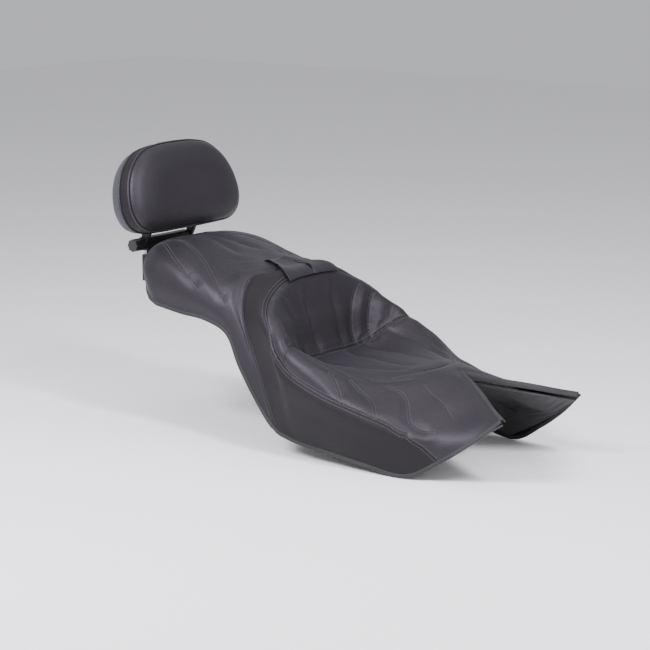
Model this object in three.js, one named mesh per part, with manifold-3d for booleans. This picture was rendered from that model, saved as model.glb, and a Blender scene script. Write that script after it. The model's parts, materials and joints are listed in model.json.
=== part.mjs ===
// A two-up touring motorcycle saddle with a plug-in, tilting passenger backrest.
// Millimetres. X points to the front of the motorcycle, Y to its left, Z up.
// The origin is the middle of the lower face of the centre rest pad.
import * as THREE from 'three';
import { mergeVertices } from 'three/addons/utils/BufferGeometryUtils.js';
import Module from 'manifold-3d';

const wasm = await Module();
wasm.setup();

// ---------------------------------------------------------------- driving dimensions

// The saddle's outer surface: one rib per row, rear to front, from the centre line out to the hem.
// Columns: centre, inner, crest, shoulder seam, side, hem. The left half is listed and mirrored.
const RIBS = [
  [[-452, 0, 170], [-452, 45, 170], [-440, 88, 170], [-422, 118, 164], [-405, 134, 156], [-390, 142, 148]],
  [[-456, 0, 218], [-454, 48, 217], [-440, 92, 211], [-420, 124, 194], [-394, 142, 168], [-372, 148, 142]],
  [[-422, 0, 237], [-420, 52, 237], [-411, 96, 231], [-394, 130, 209], [-368, 148, 176], [-348, 150, 139]],
  [[-358, 0, 240], [-356, 54, 240], [-352, 100, 233], [-340, 135, 210], [-322, 152, 174], [-305, 153, 134]],
  [[-290, 0, 227], [-289, 53, 226], [-286, 101, 217], [-278, 137, 194], [-262, 154, 160], [-250, 153, 129]],
  [[-230, 0, 214], [-230, 52, 213], [-232, 103, 202], [-224, 138, 178], [-206, 154, 138], [-198, 155, 110]],
  [[-202, 0, 209], [-203, 52, 208], [-208, 104, 198], [-200, 138, 168], [-166, 154, 110], [-158, 162, 50]],
  [[-180, 0, 206], [-182, 54, 204], [-190, 106, 193], [-179, 138, 152], [-124, 160, 55], [-76, 172, -42]],
  [[-136, 0, 203], [-134, 66, 199], [-127, 122, 176], [-108, 159, 146], [-72, 174, 50], [-48, 175, -51]],
  [[-110, 0, 137], [-106, 74, 135], [-88, 148, 139], [-66, 185, 96], [-44, 184, 20], [-24, 176, -56]],
  [[-77, 0, 67], [-77, 84, 69], [-46, 168, 101], [-32, 188, 65], [-16, 186, 2], [0, 177, -59]],
  [[20, 0, 63], [20, 84, 62], [24, 160, 70], [32, 189, 39], [40, 187, -12], [48, 177, -64]],
  [[100, 0, 65], [100, 74, 61], [98, 146, 39], [105, 186, 20], [108, 184, -28], [116, 176, -72]],
  [[152, 0, 68], [148, 56, 64], [152, 116, 36], [162, 174, 3], [184, 172, -38], [200, 166, -81]],
  [[176, 0, 67], [186, 48, 60], [190, 104, 30], [200, 164, -12], [230, 158, -32], [256, 153, -51]],
  [[189, 0, 66], [218, 36, 59], [242, 74, 42], [262, 115, 10], [286, 135, -5], [308, 140, -14]],
  [[199, 0, 66], [236, 28, 57], [271, 55, 49], [305, 82, 40], [332, 103, 33], [356, 120, 28]],
];

// Ribs that carry a seam.
const REAR_HEM = 0;
const COLLAR_SEAM = 7;
const BUCKET_RIM = 8;
const SEAT_SEAM = 10;
const NOSE_SEAM = 13;
const SKIRT_FRONT = 14;
const TANK_EDGE = RIBS.length - 1;

// Columns that carry a seam, counted from the centre line.
const FLAP_COLUMN = 1;
const SHOULDER = 3;
const HEM = RIBS[0].length - 1;

const STEPS_PER_RIB = 1;
const STEPS_PER_COLUMN = 2;

const GAP = 0.3;
const COVER = 2.5;
const PAN_WALL = 4;
// Room left between the curved layers.
const LAYER_GAP = 1;
// Depth of the pan below the outer surface, by column, and how much of it each rib takes,
// between the centre line and the inner column and from the crest column outwards.
const PAN_DEPTH = [50, 50, 42, 24, 13, 8];
const PAN_MIDDLE_SHARE = [0.05, 0.45, 0.9, 1, 1, 1, 1, 0.95, 0.5, 0.4, 0.7, 0.7, 0.75, 0.8, 0.5, 0.25, 0.1];
const PAN_FLANK_SHARE = [0.05, 0.45, 0.9, 1, 1, 1, 0.9, 0.4, 0, 0, 0.2, 1, 1, 0.8, 0.5, 0.25, 0.1];
const FIRST_FLANK_COLUMN = 2;
// How far the foam and the pan stand back from the hem.
const FOAM_SETBACK = 1.5;
const PAN_SETBACK = 3.5;

const TRIM = { out: [2, 5.5], proud: 0.8, under: 2.6 };
const WELT_RADIUS = 1.8;
const WELT_LIFT = 2.8;
const WELT_SIDES = 6;

const FLAP = { ribs: [5.6, 6, 7, 8], columns: [-1.1, -1, -0.5, 0, 0.5, 1, 1.1], overhang: 7, lift: 1.2, thickness: 3 };

// Pocket for a rider's backrest, between the two seats and under the flap.
const SLOT = { x: -168, outerX: 18, outerY: 56, wall: 2.5, top: 199, bottom: 136, clearance: 0.5 };
const SLOT_FLANGE = { rear: -204, front: -159, halfWidth: 42, thickness: 3 };

const REST_PAD = { radius: 16, height: 11.7, riderFloor: 12, passengerFloor: 167 };
const RIDER_PADS = [[0, 0], [10, 105], [10, -105], [90, 54], [90, -54]];
const PASSENGER_PADS = [[-320, 80], [-320, -80]];

const BOLT = { headRadius: 6.5, headHeight: 4, shankRadius: 3, shankLength: 9 };

const TONGUE = { rear: 55, bend: 150, tip: 232, rise: 8, top: 10, halfWidth: 28, thickness: 4 };
const TONGUE_BOLTS = [[82, 15], [82, -15]];

const LATCH = { x: -250, halfLength: 35, halfWidth: 25, top: 150, thickness: 3.2 };
const LATCH_BOLTS = [[-277, 0], [-223, 0]];
const STRIKER = { radius: 3.5, halfSpan: 14, drop: 26 };

// L-shaped steel bracket behind and below the rear of the saddle.
const BRACKET = { rear: -472.5, front: -335, bottom: 146, top: 206, halfWidth: 65, thickness: 4 };
const BRACKET_BOLTS = [[-410, 42], [-410, -42], [-355, 42], [-355, -42]];
const BOSS_RADIUS = 11;

// Backrest mount: two blades in two sockets carry the hinge bar.
const PIVOT = { x: -481, z: 226 };
const BLADE = { y: 40, width: 30, thickness: 6, bottom: 150 };
const SOCKET = { wall: 2.5, top: 205, bottom: 156 };
const BAR = { halfLength: 60, depth: 22, height: 24, corner: 5 };
const PIN_RADIUS = 5;
const LUG = { thickness: 5, radius: 12 };
const KNOB = { radius: 12, length: 24, lobes: 8, lobeDepth: 1.2 };

// Backrest pad: half-width of its outline at each height above its lower edge.
const PAD_ORIGIN = [-417, 0, 260];
const PAD_LEAN_DEG = 15;
const PAD_OUTLINE = [
  [0, 0], [70, 0], [110, 3], [135, 16], [147, 40], [148, 62], [141, 92], [123, 122], [92, 146], [48, 156], [0, 158],
];
const PAD_MIDDLE = 72;
const PAD_OUTLINE_STEPS = 18;
// Sections from rear to front: how far forward of the front seam, and how far in from the outline.
const REAR_SECTIONS = [[-60, 46], [-58, 26], [-51, 10], [-40, 2.5], [-24, 0]];
const FACE_SECTIONS = [[0, 0], [7, 3], [15, 13], [21, 32], [24.5, 52], [25.5, 66]];
const BAND_REAR = -24;
const BACK_BOARD = 4;

// ---------------------------------------------------------------- materials

function material(color, roughness, metalness) {
  return new THREE.MeshStandardMaterial({ color, roughness, metalness });
}
const leather = material(0x423f45, 0.55, 0);
const skirtLeather = material(0x333235, 0.6, 0);
const pouchVinyl = material(0x5a5a60, 0.6, 0);
const piping = material(0x2a292c, 0.5, 0);
const foamGrey = material(0x8f8b80, 0.95, 0);
const panPlastic = material(0x1b1b1c, 0.6, 0);
const trimRubber = material(0x111112, 0.8, 0);
const blackSteel = material(0x1a1a1b, 0.45, 0.6);
const zincSteel = material(0x9a9a9c, 0.35, 1);
const knobPlastic = material(0x161617, 0.5, 0);

// ---------------------------------------------------------------- solids and booleans

const part = new THREE.Group();

function add(name, geometry, look) {
  const mesh = new THREE.Mesh(geometry, look);
  mesh.name = name;
  part.add(mesh);
  return mesh;
}

function toSolid(geometry) {
  const bare = geometry.index ? geometry.toNonIndexed() : geometry.clone();
  bare.deleteAttribute('normal');
  bare.deleteAttribute('uv');
  const merged = mergeVertices(bare, 1e-3);
  return new wasm.Manifold(new wasm.Mesh({
    numProp: 3,
    vertProperties: merged.attributes.position.array,
    triVerts: new Uint32Array(merged.index.array),
  }));
}

function toGeometry(solid) {
  const mesh = solid.getMesh();
  const geometry = new THREE.BufferGeometry();
  geometry.setAttribute('position', new THREE.BufferAttribute(new Float32Array(mesh.vertProperties), 3));
  geometry.setIndex(new THREE.BufferAttribute(new Uint32Array(mesh.triVerts), 1));
  geometry.computeVertexNormals();
  return geometry;
}

function cut(geometry, ...tools) {
  return toGeometry(tools.reduce((body, tool) => body.subtract(toSolid(tool)), toSolid(geometry)));
}

function join(geometry, ...others) {
  return toGeometry(others.reduce((body, other) => body.add(toSolid(other)), toSolid(geometry)));
}

function box(low, high) {
  const size = high.map((value, i) => value - low[i]);
  const geometry = new THREE.BoxGeometry(...size);
  return geometry.translate(...high.map((value, i) => (value + low[i]) / 2));
}

// An outline drawn in X and Z, pushed along Y from y0 to y1.
function extrudeAlongY(outline, y0, y1) {
  const shape = new THREE.Shape(outline.map(([x, z]) => new THREE.Vector2(x, z)));
  const geometry = new THREE.ExtrudeGeometry(shape, { depth: y1 - y0, bevelEnabled: false });
  return geometry.rotateX(Math.PI / 2).translate(0, y1, 0);
}

function cylinderAlongY(radius, x, z, y0, y1, sides = 24) {
  const geometry = new THREE.CylinderGeometry(radius, radius, y1 - y0, sides);
  return geometry.translate(x, (y0 + y1) / 2, z);
}

function cylinderAlongZ(radius, x, y, z0, z1, sides = 12) {
  const geometry = new THREE.CylinderGeometry(radius, radius, z1 - z0, sides);
  return geometry.rotateX(Math.PI / 2).translate(x, y, (z0 + z1) / 2);
}

// A closed body from rings of equally many points. The first and last rings are capped,
// unless the rings run round to the first one again.
function loft(rings, runsRound = false) {
  const count = rings[0].length;
  const points = rings.flat();
  const faces = [];
  const spans = runsRound ? rings.length : rings.length - 1;
  for (let r = 0; r < spans; r++) {
    const here = r * count;
    const next = ((r + 1) % rings.length) * count;
    for (let i = 0; i < count; i++) {
      const j = (i + 1) % count;
      faces.push(here + i, next + i, next + j, here + i, next + j, here + j);
    }
  }
  if (!runsRound) {
    for (const [start, flip] of [[0, false], [(rings.length - 1) * count, true]]) {
      const middle = new THREE.Vector3();
      for (let i = 0; i < count; i++) middle.addScaledVector(points[start + i], 1 / count);
      points.push(middle);
      for (let i = 0; i < count; i++) {
        const j = (i + 1) % count;
        const pair = flip ? [start + j, start + i] : [start + i, start + j];
        faces.push(points.length - 1, ...pair);
      }
    }
  }
  return facingOut(points, faces);
}

function facingOut(points, faces) {
  let volume = 0;
  for (let f = 0; f < faces.length; f += 3) {
    const [a, b, c] = [points[faces[f]], points[faces[f + 1]], points[faces[f + 2]]];
    volume += a.dot(b.clone().cross(c));
  }
  if (volume < 0) {
    for (let f = 0; f < faces.length; f += 3) [faces[f + 1], faces[f + 2]] = [faces[f + 2], faces[f + 1]];
  }
  const geometry = new THREE.BufferGeometry().setFromPoints(points);
  geometry.setIndex(faces);
  geometry.computeVertexNormals();
  return geometry;
}

function tube(path, radius, sides, steps) {
  const ring = new THREE.Shape();
  for (let i = 0; i < sides; i++) {
    const angle = (i / sides) * 2 * Math.PI;
    const point = [radius * Math.cos(angle), radius * Math.sin(angle)];
    if (i === 0) ring.moveTo(...point);
    else ring.lineTo(...point);
  }
  return new THREE.ExtrudeGeometry(ring, { steps, extrudePath: path, bevelEnabled: false });
}

// ---------------------------------------------------------------- the saddle's surfaces

// A surface through a net of ribs: u counts ribs from the rear, t counts columns from the centre line,
// positive to the left.
function surfaceThrough(net) {
  const rails = [];
  for (let column = -HEM; column <= HEM; column++) {
    const side = column < 0 ? -1 : 1;
    const points = net.map((rib) => rib[Math.abs(column)].clone().setY(side * rib[Math.abs(column)].y));
    rails.push(new THREE.CatmullRomCurve3(points, false, 'centripetal'));
  }
  const sections = new Map();
  const at = (u, t) => {
    if (!sections.has(u)) {
      const across = rails.map((rail) => rail.getPoint(u / TANK_EDGE));
      sections.set(u, new THREE.CatmullRomCurve3(across, false, 'centripetal'));
    }
    return sections.get(u).getPoint((t + HEM) / (2 * HEM));
  };
  const step = 0.04;
  const normal = (u, t) => {
    const along = at(Math.min(u + step, TANK_EDGE), t).sub(at(Math.max(u - step, 0), t));
    const across = at(u, Math.min(t + step, HEM)).sub(at(u, Math.max(t - step, -HEM)));
    return along.cross(across).normalize();
  };
  const below = (depth) => (u, t) => at(u, t).addScaledVector(normal(u, t), -depth);
  return { at, normal, below };
}

const skin = surfaceThrough(RIBS.map((rib) => rib.map((point) => new THREE.Vector3(...point))));

const padFloor = surfaceThrough(RIBS.map((rib, u) => rib.map((point, column) => {
  const share = column < FIRST_FLANK_COLUMN ? PAN_MIDDLE_SHARE[u] : PAN_FLANK_SHARE[u];
  const depth = PAN_DEPTH[HEM] + (PAN_DEPTH[column] - PAN_DEPTH[HEM]) * share;
  return new THREE.Vector3(...point).addScaledVector(skin.normal(u, column), -depth);
})));

// A closed layer between two surfaces, over blocks of ribs and columns [u0, u1, t0, t1].
// Its edges stand back from the block's edges.
function layer(blocks, upper, lower, setback = GAP) {
  const cells = new Set();
  for (const [u0, u1, t0, t1] of blocks) {
    for (let a = u0 * STEPS_PER_RIB; a < u1 * STEPS_PER_RIB; a++) {
      for (let b = t0 * STEPS_PER_COLUMN; b < t1 * STEPS_PER_COLUMN; b++) cells.add(`${a},${b}`);
    }
  }
  const has = (a, b) => cells.has(`${a},${b}`);
  const points = [];
  const indices = new Map();
  const index = (a, b) => {
    const key = `${a},${b}`;
    if (!indices.has(key)) {
      indices.set(key, points.length);
      const used = [[a - 1, b - 1], [a - 1, b], [a, b - 1], [a, b]].filter(([i, j]) => has(i, j));
      for (const surface of [upper, lower]) {
        const place = (i, j) => surface(i / STEPS_PER_RIB, j / STEPS_PER_COLUMN);
        const point = place(a, b);
        if (used.length < 4) {
          const inward = new THREE.Vector3();
          for (const [i, j] of used) inward.add(place(i + 0.5, j + 0.5)).sub(point);
          point.addScaledVector(inward.normalize(), setback);
        }
        points.push(point);
      }
    }
    return indices.get(key);
  };
  const faces = [];
  // Both neighbours of a seam split its twisted wall along the same diagonal.
  const wall = (from, to, forward) => {
    if (forward) faces.push(from, from + 1, to + 1, from, to + 1, to);
    else faces.push(from, from + 1, to, from + 1, to + 1, to);
  };
  for (const key of cells) {
    const [a, b] = key.split(',').map(Number);
    const corners = [index(a, b), index(a + 1, b), index(a + 1, b + 1), index(a, b + 1)];
    const [p, q, r, s] = corners;
    faces.push(p, q, r, p, r, s);
    faces.push(p + 1, r + 1, q + 1, p + 1, s + 1, r + 1);
    if (!has(a, b - 1)) wall(p, q, true);
    if (!has(a + 1, b)) wall(q, r, true);
    if (!has(a, b + 1)) wall(r, s, false);
    if (!has(a - 1, b)) wall(s, p, false);
  }
  return facingOut(points, faces);
}

const ALL = [[REAR_HEM, TANK_EDGE, -HEM, HEM]];
const coverTop = skin.below(0);
const coverUnder = skin.below(COVER);
const foamTop = skin.below(COVER + LAYER_GAP);
const foamUnder = padFloor.below(0);
const panTop = padFloor.below(LAYER_GAP);
const panUnder = padFloor.below(LAYER_GAP + PAN_WALL);

const slotHole = box(
  [SLOT.x - SLOT.outerX / 2 - SLOT.clearance, -SLOT.outerY / 2 - SLOT.clearance, SLOT.bottom - 10],
  [SLOT.x + SLOT.outerX / 2 + SLOT.clearance, SLOT.outerY / 2 + SLOT.clearance, SLOT.top + 40],
);

function addFoam() {
  const passenger = layer([[REAR_HEM, BUCKET_RIM, -HEM, HEM]], foamTop, foamUnder, FOAM_SETBACK);
  const rider = layer([[BUCKET_RIM, TANK_EDGE, -HEM, HEM]], foamTop, foamUnder, FOAM_SETBACK);
  add('passenger_foam', cut(passenger, slotHole), foamGrey);
  add('rider_foam', cut(rider, slotHole), foamGrey);
}

function addCovers() {
  const panel = (name, blocks, look) => add(name, layer(blocks, coverTop, coverUnder), look);
  panel('passenger_cover', [[REAR_HEM, COLLAR_SEAM, -HEM, HEM]], leather);
  panel('bucket_back_panel', [[BUCKET_RIM, SEAT_SEAM, -SHOULDER, SHOULDER]], leather);
  panel('rider_seat_panel', [[SEAT_SEAM, NOSE_SEAM, -SHOULDER, SHOULDER]], leather);
  panel('nose_panel', [
    [NOSE_SEAM, SKIRT_FRONT, -SHOULDER, SHOULDER],
    [SKIRT_FRONT, TANK_EDGE, -HEM, HEM],
  ], leather);
  panel('left_side_panel', [
    [COLLAR_SEAM, SKIRT_FRONT, SHOULDER, HEM],
    [COLLAR_SEAM, BUCKET_RIM, FLAP_COLUMN, SHOULDER],
  ], skirtLeather);
  panel('right_side_panel', [
    [COLLAR_SEAM, SKIRT_FRONT, -HEM, -SHOULDER],
    [COLLAR_SEAM, BUCKET_RIM, -SHOULDER, -FLAP_COLUMN],
  ], skirtLeather);
  const underFlap = layer([[COLLAR_SEAM, BUCKET_RIM, -FLAP_COLUMN, FLAP_COLUMN]], coverTop, coverUnder);
  add('slot_surround_panel', cut(underFlap, slotHole), skirtLeather);
}

// ---------------------------------------------------------------- pan and what is fixed to it

function addPan() {
  const boss = (x, y, z, radius) => cylinderAlongZ(radius, x, y, z, z + 60);
  const bosses = [
    ...RIDER_PADS.map(([x, y]) => boss(x, y, REST_PAD.riderFloor, REST_PAD.radius)),
    ...PASSENGER_PADS.map(([x, y]) => boss(x, y, REST_PAD.passengerFloor, REST_PAD.radius)),
    ...TONGUE_BOLTS.map(([x, y]) => boss(x, y, TONGUE.top + GAP, BOSS_RADIUS)),
    ...LATCH_BOLTS.map(([x, y]) => boss(x, y, LATCH.top + GAP, BOSS_RADIUS)),
    ...BRACKET_BOLTS.map(([x, y]) => boss(x, y, BRACKET.bottom + BRACKET.thickness + GAP, BOSS_RADIUS)),
  ];
  const abovePan = layer(ALL, (u, t) => skin.at(u, t).add(new THREE.Vector3(0, 0, 60)), panTop);
  const shankRadius = BOLT.shankRadius + GAP;
  const shankHole = (x, y, z) => cylinderAlongZ(shankRadius, x, y, z - 1, z + BOLT.shankLength - 3);
  const holes = [
    ...TONGUE_BOLTS.map(([x, y]) => shankHole(x, y, TONGUE.top)),
    ...LATCH_BOLTS.map(([x, y]) => shankHole(x, y, LATCH.top)),
    ...BRACKET_BOLTS.map(([x, y]) => shankHole(x, y, BRACKET.bottom + BRACKET.thickness)),
  ];
  const shell = layer(ALL, panTop, panUnder, PAN_SETBACK);
  const trimmed = bosses.map((post) => cut(post, abovePan));
  add('seat_pan', cut(join(shell, ...trimmed), slotHole, ...holes), panPlastic);
}

function addRestPads() {
  const names = ['centre', 'mid_left', 'mid_right', 'front_left', 'front_right', 'rear_left', 'rear_right'];
  const pads = [
    ...RIDER_PADS.map((place) => [...place, REST_PAD.riderFloor]),
    ...PASSENGER_PADS.map((place) => [...place, REST_PAD.passengerFloor]),
  ];
  pads.forEach(([x, y, floor], i) => {
    const low = floor - GAP - REST_PAD.height;
    const profile = [
      [0, low], [REST_PAD.radius - 2, low], [REST_PAD.radius, low + 2],
      [REST_PAD.radius, floor - GAP], [0, floor - GAP],
    ].map(([radius, z]) => new THREE.Vector2(radius, z));
    const geometry = new THREE.LatheGeometry(profile, 12).rotateX(Math.PI / 2).translate(x, y, 0);
    add(`rest_pad_${names[i]}`, geometry, trimRubber);
  });
}

// A pan-head bolt driven up from below: its head sits under a plate whose lower face is at z.
function addBolt(name, x, y, z) {
  const top = z - GAP;
  const profile = [
    [0, top - BOLT.headHeight], [BOLT.headRadius - 1.5, top - BOLT.headHeight],
    [BOLT.headRadius, top - BOLT.headHeight + 1.5], [BOLT.headRadius, top],
    [BOLT.shankRadius, top], [BOLT.shankRadius, top + BOLT.shankLength], [0, top + BOLT.shankLength],
  ].map(([radius, height]) => new THREE.Vector2(radius, height));
  const geometry = new THREE.LatheGeometry(profile, 10).rotateX(Math.PI / 2).translate(x, y, 0);
  add(name, geometry, zincSteel);
}

function boltHoles(places, z0, z1) {
  return places.map(([x, y]) => cylinderAlongZ(BOLT.shankRadius + GAP, x, y, z0 - 1, z1 + 1));
}

function addTongue() {
  const { rear, bend, tip, rise, top, halfWidth, thickness } = TONGUE;
  const plate = extrudeAlongY([
    [rear, top - thickness], [bend, top - thickness], [bend + 20, top - thickness + rise],
    [tip, top - thickness + rise], [tip, top + rise], [bend + 20, top + rise], [bend, top], [rear, top],
  ], -halfWidth, halfWidth);
  add('front_tongue', cut(plate, ...boltHoles(TONGUE_BOLTS, top - thickness, top)), blackSteel);
  TONGUE_BOLTS.forEach(([x, y], i) => addBolt(`tongue_bolt_${i + 1}`, x, y, top - thickness));
}

function addLatch() {
  const { x, halfLength, halfWidth, top, thickness } = LATCH;
  const low = top - thickness;
  const plate = box([x - halfLength, -halfWidth, low], [x + halfLength, halfWidth, top]);
  add('latch_plate', cut(plate, ...boltHoles(LATCH_BOLTS, low, top)), blackSteel);
  LATCH_BOLTS.forEach(([boltX, boltY], i) => addBolt(`latch_bolt_${i + 1}`, boltX, boltY, low));
  const bottom = low - STRIKER.drop;
  const path = new THREE.CatmullRomCurve3([
    [-STRIKER.halfSpan, low - GAP], [-STRIKER.halfSpan, low - 12], [-STRIKER.halfSpan, bottom + 8],
    [-STRIKER.halfSpan + 8, bottom], [STRIKER.halfSpan - 8, bottom],
    [STRIKER.halfSpan, bottom + 8], [STRIKER.halfSpan, low - 12], [STRIKER.halfSpan, low - GAP],
  ].map(([along, z]) => new THREE.Vector3(x + along, 0, z)));
  add('latch_striker', tube(path, STRIKER.radius, 10, 26), zincSteel);
}

function addSlotReceiver() {
  const { x, outerX, outerY, wall, top, bottom } = SLOT;
  const tubeBody = box([x - outerX / 2, -outerY / 2, bottom - 1], [x + outerX / 2, outerY / 2, top]);
  const flange = box(
    [SLOT_FLANGE.rear, -SLOT_FLANGE.halfWidth, bottom - SLOT_FLANGE.thickness],
    [SLOT_FLANGE.front, SLOT_FLANGE.halfWidth, bottom],
  );
  const bore = box(
    [x - outerX / 2 + wall, -outerY / 2 + wall, bottom - 10],
    [x + outerX / 2 - wall, outerY / 2 - wall, top + 10],
  );
  add('slot_receiver', cut(join(tubeBody, flange), bore), blackSteel);
}

// ---------------------------------------------------------------- trim, piping and flap

// A strip of rectangular section along an edge of the surface.
function edgeStrip(stations) {
  const rings = stations.map(([u, t, inwardU, inwardT]) => {
    const edge = skin.at(u, t);
    const normal = skin.normal(u, t);
    const out = edge.clone().sub(skin.at(u + inwardU, t + inwardT)).normalize();
    const corner = (outward, up) => edge.clone().addScaledVector(out, outward).addScaledVector(normal, up);
    const [near, far] = TRIM.out;
    return [
      corner(near, TRIM.proud), corner(far, TRIM.proud), corner(far, -TRIM.under), corner(near, -TRIM.under),
    ];
  });
  return loft(rings);
}

function addTrim() {
  const reach = 0.05;
  const halfSteps = HEM * STEPS_PER_COLUMN;
  const stations = [];
  for (let u = TANK_EDGE; u > 0; u--) stations.push([u, -HEM, 0, reach]);
  stations.push([0, -HEM, reach, reach]);
  for (let b = 1 - halfSteps; b < halfSteps; b++) stations.push([0, b / STEPS_PER_COLUMN, reach, 0]);
  stations.push([0, HEM, reach, -reach]);
  for (let u = 1; u <= TANK_EDGE; u++) stations.push([u, HEM, 0, -reach]);
  add('hem_trim', edgeStrip(stations), trimRubber);
  const across = [];
  for (let b = 1 - halfSteps; b < halfSteps; b++) across.push([TANK_EDGE, b / STEPS_PER_COLUMN, -reach, 0]);
  add('nose_binding', edgeStrip(across), piping);
}

// A cord laid on the surface through stations of rib and column.
function surfaceCord(stations) {
  const points = stations.map(([u, t]) => skin.at(u, t).addScaledVector(skin.normal(u, t), WELT_LIFT));
  const rings = points.map((point, i) => {
    const along = points[Math.min(i + 1, points.length - 1)].clone().sub(points[Math.max(i - 1, 0)]).normalize();
    const up = skin.normal(...stations[i]);
    return cordRing(point, up.clone().cross(along).normalize(), up);
  });
  return loft(rings);
}

function cordRing(middle, across, up) {
  const ring = [];
  for (let i = 0; i < WELT_SIDES; i++) {
    const angle = (i / WELT_SIDES) * 2 * Math.PI;
    ring.push(middle.clone()
      .addScaledVector(across, WELT_RADIUS * Math.cos(angle))
      .addScaledVector(up, WELT_RADIUS * Math.sin(angle)));
  }
  return ring;
}

function addBucketWelts() {
  for (const [name, side] of [['left', 1], ['right', -1]]) {
    const stations = [];
    for (let u = SKIRT_FRONT; u > BUCKET_RIM; u--) stations.push([u, side * SHOULDER]);
    stations.push([BUCKET_RIM + 0.5, side * SHOULDER]);
    for (let t = SHOULDER - 0.5; t >= FLAP_COLUMN + 0.5; t -= 0.5) stations.push([BUCKET_RIM, side * t]);
    add(`bucket_welt_${name}`, surfaceCord(stations), piping);
  }
}

// The flap follows the surface from its sewn rear edge, then runs straight out over the bucket rim.
function addFlap() {
  const { ribs, columns, overhang, lift, thickness } = FLAP;
  const side = (u, height) => columns.map((t) => skin.at(u, t).addScaledVector(skin.normal(u, t), height));
  const rings = ribs.map((u) => [...side(u, lift), ...side(u, lift + thickness).reverse()]);
  const last = rings[rings.length - 1];
  const before = rings[rings.length - 2];
  rings.push(last.map((point, i) => {
    const along = point.clone().sub(before[i]).normalize();
    return point.clone().addScaledVector(along, overhang);
  }));
  add('slot_flap', loft(rings), leather);
}

// ---------------------------------------------------------------- backrest mount

function addBracket() {
  const { rear, front, bottom, top, halfWidth, thickness } = BRACKET;
  const angle = extrudeAlongY([
    [rear, bottom], [front, bottom], [front, bottom + thickness],
    [rear + thickness, bottom + thickness], [rear + thickness, top], [rear, top],
  ], -halfWidth, halfWidth);
  add('rear_bracket', cut(angle, ...boltHoles(BRACKET_BOLTS, bottom, bottom + thickness)), blackSteel);
  BRACKET_BOLTS.forEach(([x, y], i) => addBolt(`bracket_bolt_${i + 1}`, x, y, bottom));
}

function addBladesAndSockets() {
  const halfThick = BLADE.thickness / 2;
  const halfWide = BLADE.width / 2;
  const room = halfThick + GAP;
  for (const [name, y] of [['left', BLADE.y], ['right', -BLADE.y]]) {
    const front = BRACKET.rear - GAP;
    const outer = box(
      [PIVOT.x - room - SOCKET.wall, y - halfWide - GAP - SOCKET.wall, SOCKET.bottom],
      [front, y + halfWide + GAP + SOCKET.wall, SOCKET.top],
    );
    const bore = box(
      [PIVOT.x - room, y - halfWide - GAP, SOCKET.bottom - 1],
      [PIVOT.x + room, y + halfWide + GAP, SOCKET.top + 1],
    );
    add(`backrest_socket_${name}`, cut(outer, bore), blackSteel);
    const barUnder = PIVOT.z - BAR.height / 2 - GAP;
    const blade = extrudeAlongY([
      [PIVOT.x - halfThick, BLADE.bottom + 4], [PIVOT.x - 1, BLADE.bottom], [PIVOT.x + 1, BLADE.bottom],
      [PIVOT.x + halfThick, BLADE.bottom + 4], [PIVOT.x + halfThick, barUnder], [PIVOT.x - halfThick, barUnder],
    ], y - halfWide, y + halfWide);
    add(`backrest_blade_${name}`, blade, zincSteel);
  }
}

function addHingeBar() {
  const { halfLength, depth, height, corner } = BAR;
  const shape = new THREE.Shape();
  const [x0, x1] = [PIVOT.x - depth / 2, PIVOT.x + depth / 2];
  const [z0, z1] = [PIVOT.z - height / 2, PIVOT.z + height / 2];
  shape.moveTo(x0, z0);
  shape.lineTo(x1, z0);
  shape.absarc(x1 - corner, z1 - corner, corner, 0, Math.PI / 2, false);
  shape.absarc(x0 + corner, z1 - corner, corner, Math.PI / 2, Math.PI, false);
  const outline = shape.getPoints(6).map((point) => [point.x, point.y]);
  const bar = extrudeAlongY(outline, -halfLength, halfLength);
  const bore = cylinderAlongY(PIN_RADIUS + GAP, PIVOT.x, PIVOT.z, -halfLength - 1, halfLength + 1);
  add('hinge_bar', cut(bar, bore), blackSteel);
  const lugOuter = halfLength + 2 * GAP + LUG.thickness;
  const shaft = cylinderAlongY(PIN_RADIUS, PIVOT.x, PIVOT.z, -lugOuter - 15, lugOuter + 1);
  const head = cylinderAlongY(PIN_RADIUS + 4, PIVOT.x, PIVOT.z, lugOuter + GAP, lugOuter + 5);
  add('hinge_pin', join(shaft, head), zincSteel);
  addKnob(-lugOuter - GAP);
}

function addKnob(face) {
  const outline = [];
  const points = KNOB.lobes * 6;
  for (let i = 0; i < points; i++) {
    const angle = (i / points) * 2 * Math.PI;
    const radius = KNOB.radius - KNOB.lobeDepth * (0.5 - 0.5 * Math.cos(angle * KNOB.lobes));
    outline.push([PIVOT.x + radius * Math.cos(angle), PIVOT.z + radius * Math.sin(angle)]);
  }
  const grip = extrudeAlongY(outline, face - KNOB.length, face);
  const bore = cylinderAlongY(PIN_RADIUS + GAP, PIVOT.x, PIVOT.z, face - 16, face + 1);
  add('tilt_knob', cut(grip, bore), knobPlastic);
}

// ---------------------------------------------------------------- backrest pad

const lean = THREE.MathUtils.degToRad(PAD_LEAN_DEG);
const padUp = new THREE.Vector3(-Math.sin(lean), 0, Math.cos(lean));
const padForward = new THREE.Vector3(Math.cos(lean), 0, Math.sin(lean));

function padPoint(y, up, forward) {
  const point = new THREE.Vector3(...PAD_ORIGIN).addScaledVector(padUp, up);
  return point.addScaledVector(padForward, forward).setY(y);
}

const padHalf = new THREE.SplineCurve(PAD_OUTLINE.map(([y, up]) => new THREE.Vector2(y, up)));

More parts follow.
